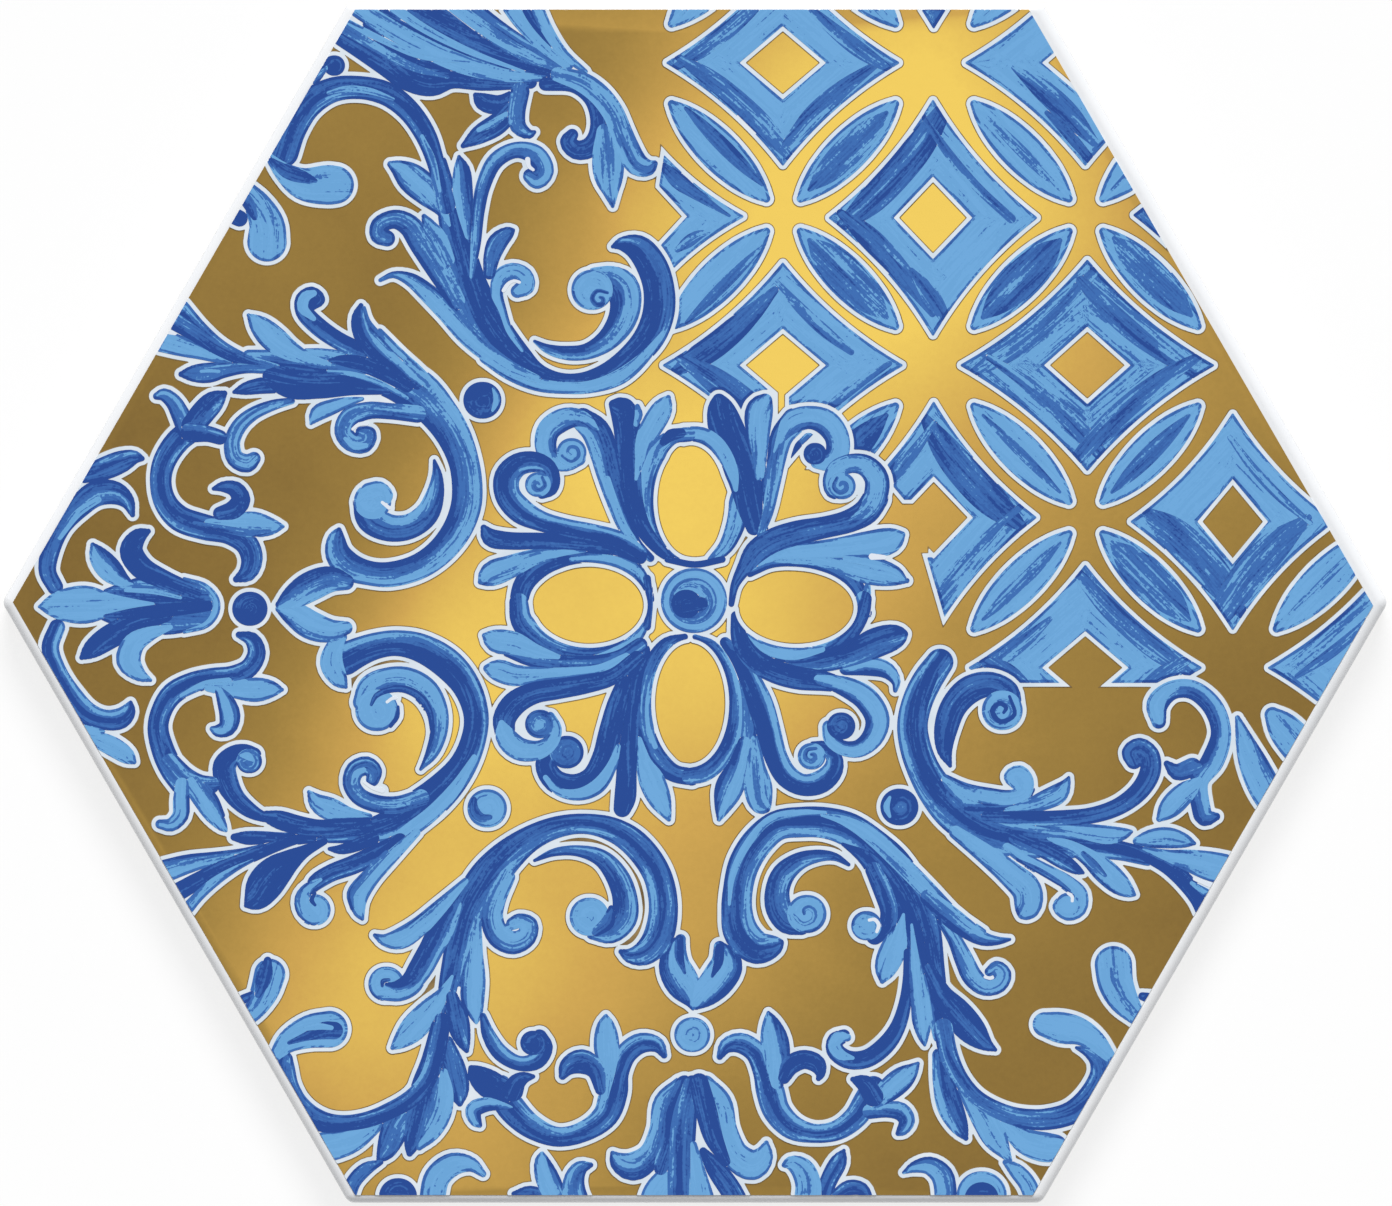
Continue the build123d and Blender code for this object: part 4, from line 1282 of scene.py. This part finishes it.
class Diamond:
    """A lattice diamond: straight round its hole, hollow on the outside."""

    def __init__(self, tones, centre, shape):
        self.tones = [TONES[letter] for letter in tones]
        self.centre = np.array(centre)
        self.outer, self.hole = shape

    def box(self):
        """The corners of the part of the drawing that the diamond needs."""
        room = np.array(self.outer) + REACH
        return self.centre - room, self.centre + room

    def measure(self, x, y):
        """Signed distance to the diamond's outline over a window of the grid."""
        dx = np.abs(x - self.centre[0])
        dy = np.abs(y - self.centre[1])[:, None]
        a, b = self.outer
        t = ((a - dx) * a + dy * b) / (a * a + b * b)
        sag = SIDE_SAG * (1 - (2 * np.clip(t, 0, 1) - 1) ** 2)
        side = (dx / a + dy / b - 1) * a * b / math.hypot(a, b) + sag
        side = np.where(t < 0, np.hypot(dx - a, dy), np.where(t > 1, np.hypot(dx, dy - b), side))
        a, b = self.hole
        hole = (1 - dx / a - dy / b) * a * b / math.hypot(a, b)
        return np.maximum(side, hole) - SPREAD

    def side(self, corner, start, end, depth, tones, *widths):
        """A stroke along the side that faces a corner, from start to end and at some depth."""
        a, b = self.outer
        length = math.hypot(a, b)
        places = []
        for n, width in enumerate(widths):
            t = start + (end - start) * n / (len(widths) - 1)
            off = depth + SIDE_SAG * (1 - (2 * t - 1) ** 2)
            x = a * (1 - t) - off * b / length
            y = b * t - off * a / length
            places.append((self.centre[0] + corner[0] * x, self.centre[1] + corner[1] * y, width))
        return brush(tones, *places)

    def spine(self):
        """Points along the middle of the four sides."""
        a, b = self.outer
        t = np.linspace(0.04, 0.96, 20)[:, None]
        points = []
        for sx in (1, -1):
            points += [np.hstack([sx * 0.66 * a * (1 - t), sy * 0.66 * b * t]) for sy in (1, -1)]
        return self.centre + np.vstack(points)

    def flow(self, points):
        """Place along a side, depth from the outline and tone, at some points."""
        away = np.abs(points - self.centre)
        a, b = self.outer
        length = math.hypot(a, b)
        turn = points - self.centre
        around = np.sign(turn[:, 0]) * 40 + np.sign(turn[:, 1]) * 80
        depth = (1 - away[:, 0] / a - away[:, 1] / b) * a * b / length
        rim, middle, heart = self.tones
        tone = np.interp(depth, [0.5, 1.5, 3, 4.5], [rim, middle, middle, heart])
        return ((a - away[:, 0]) * a + away[:, 1] * b) / length + around, depth, tone


def wide_diamonds():
    """The wide diamonds by their steps from the first one. Three are drawn a little larger or smaller."""
    return {
        (0, 0): Diamond("lll", lattice_place(WIDE_ORIGIN, 0, 0), WIDE),
        (1, 0): Diamond("sss", (57.2, 34.6), ((18.3, 15.2), (6.6, 5.9))),
        (0, 1): Diamond("lll", (12.8, 78.7), ((16.8, 14.8), WIDE[1])),
        (1, 1): Diamond("lll", lattice_place(WIDE_ORIGIN, 1, 1), WIDE),
        (1, -1): Diamond("lll", (56.9, -9.5), ((16.8, 14.8), WIDE[1])),
        (2, -1): Diamond("lsl", lattice_place(WIDE_ORIGIN, 2, -1), WIDE),
    }


def tall_diamonds():
    """The tall diamonds by their steps from the first one. Three are drawn a little larger or smaller."""
    return {
        (0, 0): Diamond("lsl", lattice_place(TALL_ORIGIN, 0, 0), TALL),
        (1, 0): Diamond("lll", (78.4, 11.8), ((14.7, 15.6), (5.4, 6.5))),
        (0, 1): Diamond("lll", (34.7, 56.1), ((15, 17), TALL[1])),
        (1, 1): Diamond("mml", lattice_place(TALL_ORIGIN, 1, 1), TALL),
        (-1, 1): Diamond("lll", (-7.9, 56.3), ((14.8, 12.8), (7, 7.6))),
        (0, 2): Diamond("mml", lattice_place(TALL_ORIGIN, 0, 2), TALL),
    }


def diamond_strokes(wide, tall):
    """The darker brush strokes along the diamonds' sides."""
    north_east = (1, 1)
    north_west = (-1, 1)
    south_west = (-1, -1)
    south_east = (1, -1)
    return [
        wide[0, 0].side(north_west, 0, .85, 1.6, "med", .3, 1.6, 1.7, 1.2, .4),
        wide[0, 0].side(north_east, .95, .3, 2.4, "mmm", .2, .6, .7, .3),
        wide[0, 0].side(south_west, 0, .95, 2.2, "mem", .3, 1.7, 2.1, 2),
        wide[0, 0].side(south_east, .05, .6, 1.1, "mmm", .2, .5, .6, .2),
        wide[1, 0].side(north_west, 0, 1, 1.8, "mmm", .3, 1.4, 1.5, 1, .5),
        wide[1, 0].side(north_east, .95, 0, 2.6, "mem", .6, 1.2, 1.2, .8, .3),
        wide[1, 0].side(south_west, .1, 1, 3, "mmm", .3, .7, .9, 1.2, .8),
        wide[1, 0].side(south_east, 0, 1, 2.2, "mem", .3, 1.1, 1.4, 1.4, .8),
        wide[0, 1].side(north_west, 0, .95, 1.2, "mmm", .3, .9, 1, .7, .2),
        wide[0, 1].side(south_west, .02, 1, 1.5, "mme", .3, 1.1, 1.3, 1.3, .5),
        wide[0, 1].side(south_east, .1, .9, 1.5, "mem", .3, 1, 1.2, .4),
        wide[0, 1].side(north_east, 0, .7, 1.5, "mmm", .3, 1, .8, .2),
        wide[1, 1].side(south_west, .25, .95, 3.1, "mme", .2, 1.3, 1.4, .5),
        wide[1, 1].side(south_west, .6, 1, 1, "eee", .2, .6, .5),
        wide[1, -1].side(north_west, 0, .6, 1.3, "mmm", .3, .9, .8, .2),
        wide[1, -1].side(north_east, 0, 1, 1.5, "mme", .3, 1.2, 1.2, 1.1, .6),
        wide[1, -1].side(south_west, 0, .4, 2, "mem", .3, 1.5, .8),
        wide[1, -1].side(south_east, 0, .4, 2, "mmm", .3, 1.2, .8),
        wide[2, -1].side(north_west, .1, .8, 3.2, "mmm", .2, .6, .5, .2),
        tall[0, 0].side(north_east, 0, .97, 2.3, "eee", .5, 2, 2.2, 1.8, .5),
        tall[0, 0].side(south_east, 0, .8, 2.6, "mmm", .3, .4, .3, .2),
        tall[0, 0].side(north_west, .3, .9, 1.6, "mmm", .2, .7, .6, .2),
        tall[1, 0].side(south_west, 0, .97, 2.4, "mem", .4, 2.1, 2.4, 2, .6),
        tall[1, 0].side(south_east, .1, .97, 2.7, "mmm", .4, 2, 2.3, 1.6),
        tall[1, 0].side(north_east, .1, .9, 2.2, "msm", .2, .5, .5, .2),
        tall[0, 1].side(north_west, 0, 1, 2, "eee", .6, 1.8, 2, 1.9, 1),
        tall[0, 1].side(north_east, .97, .1, 2.4, "mem", .2, .5, .5, .5),
        tall[0, 1].side(south_west, .02, .9, 1.5, "mme", .4, 1.4, 1.4, 1, .3),
        tall[0, 1].side(south_west, .6, 1, 2.8, "mem", .2, 1.1, .5),
        brush("eem", (-4.6, 63.6, .4), (-2.6, 61.6, 1), (-.2, 59.8, .7), (2.6, 57.9, .3), (5, 56.4, .02)),
        brush("mme", (-2.6, 51.4, .2), (-1, 52.6, .7), (.6, 53.6, .5), (2, 54, .02)),
    ]


def lattice_leaves():
    """Pointed leaves on the diagonals round each crossing of the lattice, each with a darker heart."""
    crossings = {(0, 0): "1234", (1, 0): "1234", (0, -1): "1", (1, -1): "1234", (2, -1): "23", (0, 1): "34",
                 (1, 1): "3"}
    turns = {"1": (1, 1), "2": (-1, 1), "3": (-1, -1), "4": (1, -1)}
    # Tones, size and sideways shift of the hearts that stand out
    hearts = {(0, 0, "2"): ("eee", .7, .7), (0, 0, "1"): ("mem", 1.5, 0), (1, 0, "2"): ("sms", .5, 0),
              (0, 0, "3"): ("mmm", .5, .8), (0, 0, "4"): ("mmm", 1.95, 0), (1, 0, "3"): ("eme", 1.9, 0),
              (1, 0, "4"): ("mmm", 1.7, .3), (1, -1, "2"): ("mmm", .4, 0), (1, -1, "1"): ("mem", .85, 0),
              (1, -1, "3"): ("sms", .7, 0), (1, -1, "4"): ("mmm", 1.9, 0), (0, -1, "1"): ("ded", 1.6, 0)}
    plain_heart = ("sss", .3, 0)
    leaves = []
    cores = []
    for (i, j), corners in crossings.items():
        for corner in corners:
            a, b = turns[corner]
            x, y = lattice_place(CROSSING_ORIGIN, i, j)
            x += LEAF_OUT[0] * a
            y += LEAF_OUT[1] * b
            leaves.append(brush("lll", *[(x + a * r, y + b * r, w) for r, w in LEAF]))
            tones, size, shift = hearts.get((i, j, corner), plain_heart)
            x += shift
            y -= a * b * shift
            cores.append(brush(tones, *[(x + a * r, y + b * r, w * size) for r, w in HEART]))
    return leaves, cores


def lattice_notch(x, y):
    """Signed distance that is positive where the lattice stops short of the rosette's east side."""
    # The lattice stays to the right of two slanting lines, and above a level one
    steep = 0.96 * x + 0.28 * y - 34.34
    slant = 0.77 * x + 0.64 * y - 33.1
    kept = np.maximum(np.maximum(steep, slant), y - 20)
    # A band between two levels is cut back a little further
    band = np.minimum(34.6 - x, np.minimum(y - 6.6, 15 - y))
    return np.maximum(band, -kept)


def lattice_frame(x, y):
    """Signed distance that is positive past the lattice's straight edges and in its notch."""
    foot = np.where(x < LATTICE_FOOT_END, LATTICE_FOOT, NO_LIMIT) - y
    left = LATTICE_LEFT + LEAN * np.clip(y - LEAN_START, 0, LEAN_RISE) - x
    return np.maximum(np.maximum(left, foot), lattice_notch(x, y))


def hole_channel(x, y):
    """Signed distance to the gold channel under one diamond's hole."""
    return np.maximum(np.abs(x - CHANNEL_X) - CHANNEL_HALF, y - CHANNEL_TOP)


# Fields and outlines

def hexagon(x, y):
    """Signed distance to the printed hexagon, which sits a little off the middle of the tile."""
    field = NO_LIMIT
    for angle, apothem in PRINT_SIDES.items():
        turn = math.radians(angle)
        field = np.maximum(field, x * math.cos(turn) + y * math.sin(turn) - apothem)
    return field


def print_corners():
    """The corners of the printed hexagon, anticlockwise."""
    corners = []
    angles = list(PRINT_SIDES)
    for pair in zip(angles, angles[1:] + angles[:1]):
        first, second = pair
        turns = [math.radians(angle) for angle in pair]
        lines = [[math.cos(turn), math.sin(turn)] for turn in turns]
        corners.append(np.linalg.solve(lines, [PRINT_SIDES[first], PRINT_SIDES[second]]))
    return np.array(corners)


def window(low, high):
    """The part of the grid that a box takes in, as two slices."""
    j0, j1 = np.searchsorted(GRID_X, [low[0], high[0]])
    i0, i1 = np.searchsorted(GRID_Y, [low[1], high[1]])
    return slice(i0, i1), slice(j0, j1)


def sampled(field, points):
    """A grid field at some points."""
    c = np.clip((points[:, 0] - GRID_X[0]) / CELL, 0, len(GRID_X) - 1.001)
    r = np.clip((points[:, 1] - GRID_Y[0]) / CELL, 0, len(GRID_Y) - 1.001)
    j = c.astype(int)
    i = r.astype(int)
    c = c - j
    r = r - i
    low = field[i, j] * (1 - c) + field[i, j + 1] * c
    high = field[i + 1, j] * (1 - c) + field[i + 1, j + 1] * c
    return low * (1 - r) + high * r


# From one side of a grid cell to another, for each pattern of its corners: 0 low, 1 right, 2 high, 3 left
TURNS = {1: "03", 2: "10", 3: "13", 4: "21", 5: "0321", 6: "20", 7: "23", 8: "32", 9: "02", 10: "1032",
         11: "12", 12: "31", 13: "01", 14: "30"}


def trace(field, x, y):
    """Closed loops of the zero line of a field that is negative inside."""
    inside = (field < 0).astype(int)
    rows, cols = field.shape
    case = inside[:-1, :-1] + 2 * inside[:-1, 1:] + 4 * inside[1:, 1:] + 8 * inside[1:, :-1]
    i, j = np.nonzero((case > 0) & (case < 15))
    case = case[i, j]
    flat = i * cols + j
    total = rows * cols
    sides = np.stack([flat, total + flat + 1, flat + cols, total + flat], axis=1)
    follows = {}
    for number, path in TURNS.items():
        cells = sides[case == number]
        for k in range(0, len(path), 2):
            follows.update(zip(cells[:, int(path[k])].tolist(), cells[:, int(path[k + 1])].tolist()))
    loops = []
    while follows:
        start, at = follows.popitem()
        loop = [start]
        while at != start:
            loop.append(at)
            at = follows.pop(at)
        ids = np.array(loop)
        upright = ids >= total
        r = ids % total // cols
        c = ids % total % cols
        first = field[r, c]
        second = field[r + upright, c + ~upright]
        t = first / (first - second)
        across = x[c] + np.where(upright, 0, t) * CELL
        up = y[r] + np.where(upright, t, 0) * CELL
        loops.append(np.stack([across, up], axis=1))
    return loops


def thinned(loop):
    """A loop without the points that lie on the line of their neighbours."""
    for _ in range(5):
        if len(loop) < 8:
            break
        before = np.roll(loop, 1, axis=0)
        chord = np.roll(loop, -1, axis=0) - before
        away = loop - before
        length = np.maximum(np.linalg.norm(chord, axis=1), 1e-9)
        off = np.abs(chord[:, 0] * away[:, 1] - chord[:, 1] * away[:, 0]) / length
        keep = off > LOOP_TOLERANCE
        keep[::2] = True
        loop = loop[keep]
    return loop


def area(loop):
    """The area inside a loop."""
    after = np.roll(loop, -1, axis=0)
    return abs((loop[:, 0] * after[:, 1] - loop[:, 1] * after[:, 0]).sum()) / 2


def padded(field, x, y):
    """A field and its two axes with one more cell all round, which lies outside."""
    x = np.concatenate([[x[0] - CELL], x, [x[-1] + CELL]])
    y = np.concatenate([[y[0] - CELL], y, [y[-1] + CELL]])
    return np.pad(field, 1, constant_values=1.0), x, y


def outlined(field, x, y, smallest=SMALLEST_AREA):
    """The loops of a field worth drawing, with few points."""
    return [thinned(loop) for loop in trace(*padded(field, x, y)) if area(loop) > smallest]


def filled(loops, extra=None):
    """Points and triangles that fill the loops, with holes left open; extra points lie inside."""
    points = []
    edges = []
    for loop in loops:
        start = len(points)
        points += loop.tolist()
        edges += [(start + k, start + (k + 1) % len(loop)) for k in range(len(loop))]
    if extra is not None:
        points += extra.tolist()
    points, edges, faces, _, sources, _ = delaunay_2d_cdt(points, edges, [], 0, 1e-5, True)
    walls = {tuple(sorted(edge)) for edge, source in zip(edges, sources) if source}
    beside = {}
    for n, face in enumerate(faces):
        for k in range(3):
            beside.setdefault(tuple(sorted((face[k - 1], face[k]))), []).append(n)
    inside = {}
    found = [(sides[0], edge in walls) for edge, sides in beside.items() if len(sides) == 1]
    while found:
        n, state = found.pop()
        if n in inside:
            continue
        inside[n] = state
        for k in range(3):
            edge = tuple(sorted((faces[n][k - 1], faces[n][k])))
            found += [(other, state != (edge in walls)) for other in beside[edge] if other not in inside]
    return np.array([p[:] for p in points]), [tuple(face) for n, face in enumerate(faces) if inside[n]]


# Meshes

class Layer:
    """A thin closed layer of paint on the tile, put together from flat patches."""

    def __init__(self, face):
        self.face = face
        self.points = []
        self.triangles = []
        self.values = []
        self.count = 0

    def add(self, points, triangles, values=None):
        """Adds one patch: its points, its triangles and five values at each point."""
        self.points.append(points)
        self.triangles += [tuple(self.count + k for k in triangle) for triangle in triangles]
        self.values.append(values if values is not None else np.zeros((len(points), 5)))
        self.count += len(points)

    def closed_faces(self, count):
        """The faces of the top, of the bottom and of the walls round the open edges."""
        walls = {}
        for a, b, c in self.triangles:
            for edge in ((a, b), (b, c), (c, a)):
                if walls.pop(edge[::-1], None) is None:
                    walls[edge] = True
        faces = list(self.triangles)
        faces += [(c + count, b + count, a + count) for a, b, c in self.triangles]
        faces += [(b, a, a + count, b + count) for a, b in walls]
        return faces

    def store(self, mesh, names):
        """The named values as point attributes of the mesh, on the top and on the bottom."""
        values = np.tile(np.vstack(self.values), (2, 1))
        if "flow" in names:
            flow = mesh.attributes.new("flow", "FLOAT_VECTOR", "POINT")
            flow.data.foreach_set("vector", values[:, :3].ravel())
        # The first column also carries the gold's painted reflection
        for column, key in ((3, "tone"), (4, "inset"), (0, "painted_reflection")):
            if key in names:
                mesh.attributes.new(key, "FLOAT", "POINT").data.foreach_set("value", values[:, column])

    def build(self, name, top, material, slot, names=()):
        """The layer as an object that rides on the tile, with its named values."""
        flat = np.vstack(self.points)
        high = np.hstack([flat, np.full((len(flat), 1), top + self.face)])
        low = np.hstack([flat, np.full((len(flat), 1), top + SUNK)])
        mesh = bpy.data.meshes.new(name)
        mesh.from_pydata((np.vstack([high, low]) * MM).tolist(), [], self.closed_faces(len(flat)))
        self.store(mesh, names)
        mesh.materials.append(material)
        self.unwrap(mesh)
        piece = bpy.data.objects.new(name, mesh)
        bpy.context.scene.collection.objects.link(piece)
        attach(piece, "root")

    def unwrap(self, mesh):
        """A flat map of the layer, seen from above."""
        corners = np.empty(len(mesh.loops), int)
        mesh.loops.foreach_get("vertex_index", corners)
        places = np.empty(len(mesh.vertices) * 3)
        mesh.vertices.foreach_get("co", places)
        places = places.reshape(-1, 3)[:, :2]
        low = places.min(0)
        span = (places.max(0) - low).max()
        layer = mesh.uv_layers.new(name="OFBake")
        layer.data.foreach_set("uv", (0.01 + 0.98 * (places - low) / span)[corners].ravel())


def inner_points(patch, field, x, y, clear):
    """Points inside a patch: on its spine and along a line a little inside its outline."""
    field, x, y = padded(field, x, y)
    inner_loops = trace(field + CONTOUR + INNER_GAP, x, y)
    points = np.vstack([patch.spine()] + [loop[::3] for loop in inner_loops])
    return points[sampled(clear, points) < -INNER_ROOM]


def paint_patch(layer, patch, field, rows, cols, union, seed, clear):
    """Adds one patch's visible part to a layer, with its streak flow, tone and depth inside the outline."""
    loops = outlined(field, GRID_X[cols], GRID_Y[rows])
    if not loops:
        return
    clear[rows, cols] = field
    extra = inner_points(patch, field, GRID_X[cols], GRID_Y[rows], clear)
    clear[rows, cols] = FAR
    points, triangles = filled(loops, extra)
    along, across, tone = patch.flow(points)
    inset = -sampled(union, points)
    seeds = np.full(len(points), seed)
    layer.add(points, triangles, np.stack([along, across, seeds, tone, inset], axis=1))


def cover_of(patches):
    """The signed distance to the outline of all patches together, over the grid."""
    cover = np.full((len(GRID_Y), len(GRID_X)), FAR)
    for patch in patches:
        rows, cols = window(*patch.box())
        part = cover[rows, cols]
        np.minimum(part, patch.measure(GRID_X[cols], GRID_Y[rows]), out=part)
    return cover


def paint_group(patches, face, limit, union, seed):
    """A layer with the patches of one group; a later patch lies over the earlier ones."""
    layer = Layer(face)
    above = np.full(union.shape, FAR)
    clear = np.full(union.shape, FAR)
    for n, patch in reversed(list(enumerate(patches))):
        rows, cols = window(*patch.box())
        shape = patch.measure(GRID_X[cols], GRID_Y[rows])
        visible = np.maximum(np.maximum(shape, -above[rows, cols]), limit[rows, cols])
        paint_patch(layer, patch, visible, rows, cols, union, seed + n * PATCH_SEED, clear)
        part = above[rows, cols]
        np.minimum(part, shape, out=part)
    return layer


def flat_layer(field, face):
    """A layer of one plain colour that fills the outline of a field."""
    layer = Layer(face)
    layer.add(*filled(outlined(field, GRID_X, GRID_Y, SMALLEST_HOLE)))
    return layer


# Painted reflection on the gold: a base, the step of the net that holds it, and painted pools of light as
# centre x and y, radius and strength
PAINTED_REFLECTION_BASE = 0.1
PAINTED_REFLECTION_NET = 3.0
PAINTED_REFLECTION_POOLS = [(-45, -54, 20, .62), (-14, -22, 22, .45), (-8, 10, 22, .5), (14, 42, 22, .6), (30, 78, 24, .75),
         (55, 45, 22, .27), (45, 10, 20, .12), (-37, -8, 11, .26), (-31, 6, 8, .12), (14, -8, 15, .22),
         (4, -56, 16, .2), (45, -26, 17, .14), (72, 18, 18, .14), (-7, 58, 9, .14), (-52, 76, 16, .16),
         (-40, -21, 11, .22), (57, 57, 12, .1), (-20, -54, 9, .1), (-19, 23, 9, .25), (-28, -90, 18, .27),
         (-58, -68, 10, .1), (38, -58, 16, .08), (-68, 42, 12, .1)]


def gold_ground():
    """A plate of gold over the printed hexagon, with its painted reflection at a net of points."""
    x, y = np.meshgrid(np.arange(-98, 99, PAINTED_REFLECTION_NET), np.arange(-85, 86, PAINTED_REFLECTION_NET))
    net = np.stack([x.ravel(), y.ravel()], axis=1)
    net = net[hexagon(net[:, 0], net[:, 1]) < -1]
    points, triangles = filled([print_corners()], net)
    # Painted reflection: a base brightness plus soft painted pools of light
    painted_reflection = np.full(len(points), PAINTED_REFLECTION_BASE)
    for x, y, radius, strength in PAINTED_REFLECTION_POOLS:
        painted_reflection += strength * np.exp(-((points[:, 0] - x) ** 2 + (points[:, 1] - y) ** 2) / (2 * radius ** 2))
    values = np.zeros((len(points), 5))
    values[:, 0] = painted_reflection
    layer = Layer(GOLD_FACE)
    layer.add(points, triangles, values)
    return layer


def scroll_groups():
    """The patches of each blue piece outside the lattice, by the piece's name."""
    return {
        "blue_rosette": rosette() + corner_dots(),
        "blue_scrolls_south": south_middle() + south_left() + south_right(),
        "blue_scrolls_west": west_low() + west_high() + west_middle(),
        "blue_scrolls_north": north_left() + north_plume(),
        "blue_scrolls_east": east_low(),
    }


def decorate(top):
    """The gold ground and the painted ornament, laid on the tile's face."""
    groups = scroll_groups()
    x = GRID_X
    y = GRID_Y[:, None]
    border = hexagon(x, y)
    ovals = outside_ovals(GRID_X, GRID_Y)
    scrolls = np.maximum(cover_of([patch for patches in groups.values() for patch in patches]), ovals)
    wide = wide_diamonds()
    tall = tall_diamonds()
    leaves, hearts = lattice_leaves()
    shapes = list(wide.values()) + list(tall.values()) + leaves
    lattice = np.maximum(cover_of(shapes), -hole_channel(x, y))
    beside = np.maximum(WHITE_LINE - scrolls, lattice_frame(x, y))
    lattice_limit = np.maximum(np.maximum(beside, border), lattice)
    union = np.minimum(scrolls, np.maximum(lattice, beside))
    enamel = blue_enamel()
    brushed = ("flow", "tone", "inset")
    for n, (name, patches) in enumerate(groups.items()):
        layer = paint_group(patches, BLUE_FACE, np.maximum(border, ovals), union, GROUP_SEED * n)
        layer.build(name, top, enamel, "blue_enamel", brushed)
    patches = shapes + diamond_strokes(wide, tall) + hearts
    layer = paint_group(patches, BLUE_FACE, lattice_limit, union, LATTICE_SEED)
    layer.build("blue_lattice", top, enamel, "blue_enamel", brushed)
    white = flat_layer(np.maximum(union - WHITE_LINE, border), WHITE_FACE)
    white.build("white_outline", top, white_enamel(), "white_enamel")
    hair = flat_layer(np.maximum(union - WHITE_LINE - HAIRLINE, border), HAIR_FACE)
    hair.build("gold_edge", top, brown_line(), "gold_lustre")
    # The gold carries its painted reflection as a value at each point
    gold_ground().build("gold_ground", top, gold_lustre(), "gold_lustre", ("painted_reflection",))


# Stage

def floor():
    """A pale floor, seen as plain white with a faint shadow."""
    mesh = bpy.data.meshes.new("floor")
    signs = [(-1, -1), (1, -1), (1, 1), (-1, 1)]
    mesh.from_pydata([(a * FLOOR_HALF, b * FLOOR_HALF, FLOOR_LEVEL) for a, b in signs], [], [(0, 1, 2, 3)])
    nodes = Nodes("floor")
    nodes.finish(Base_Color=linear(250, 250, 250), Roughness=0.9, Specular_IOR_Level=0.0)
    rays = nodes.add("ShaderNodeLightPath").outputs
    seen = nodes.math("MAXIMUM", rays["Is Camera Ray"], rays["Is Glossy Ray"])
    seen = nodes.math("MAXIMUM", seen, rays["Is Transmission Ray"])
    glow = nodes.add("ShaderNodeEmission", {"Color": (1.0, 1.0, 1.0, 1.0), "Strength": 1.0})
    mix = nodes.add("ShaderNodeMixShader", {0: nodes.math("MULTIPLY", seen, FLOOR_GLOW)})
    nodes.tree.links.new(nodes.shader.outputs[0], mix.inputs[1])
    nodes.tree.links.new(glow.outputs[0], mix.inputs[2])
    nodes.tree.links.new(mix.outputs[0], nodes.tree.nodes["Material Output"].inputs["Surface"])
    mesh.materials.append(nodes.material)
    piece = bpy.data.objects.new("floor", mesh)
    bpy.context.scene.collection.objects.link(piece)


def lights():
    """Even light from all round, and a soft key light from the far side."""
    world = bpy.data.worlds.new("studio")
    world.use_nodes = True
    background = world.node_tree.nodes["Background"]
    background.inputs["Color"].default_value = (1.0, 1.0, 1.0, 1.0)
    background.inputs["Strength"].default_value = SKY_STRENGTH
    bpy.context.scene.world = world
    key = bpy.data.lights.new("key", "SUN")
    key.energy = KEY_STRENGTH
    key.angle = math.radians(KEY_WIDTH)
    lamp = bpy.data.objects.new("key", key)
    lamp.rotation_euler = (math.radians(KEY_TILT), 0, math.radians(KEY_TURN))
    bpy.context.scene.collection.objects.link(lamp)


def camera():
    """A camera straight above the tile, without perspective."""
    data = bpy.data.cameras.new("camera")
    data.type = "ORTHO"
    data.ortho_scale = VIEW_WIDTH * MM
    seen = bpy.data.objects.new("camera", data)
    seen.location = (VIEW_CENTRE[0] * MM, VIEW_CENTRE[1] * MM, VIEW_HEIGHT)
    bpy.context.scene.collection.objects.link(seen)
    bpy.context.scene.camera = seen


def dress_tile():
    """The tile's own solid takes the white glaze."""
    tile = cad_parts["tile"]
    tile.data.materials.clear()
    tile.data.materials.append(white_glaze())


bpy.context.scene.view_settings.view_transform = "Standard"
dress_tile()
decorate(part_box("tile")[1][2] / MM)
floor()
lights()
camera()
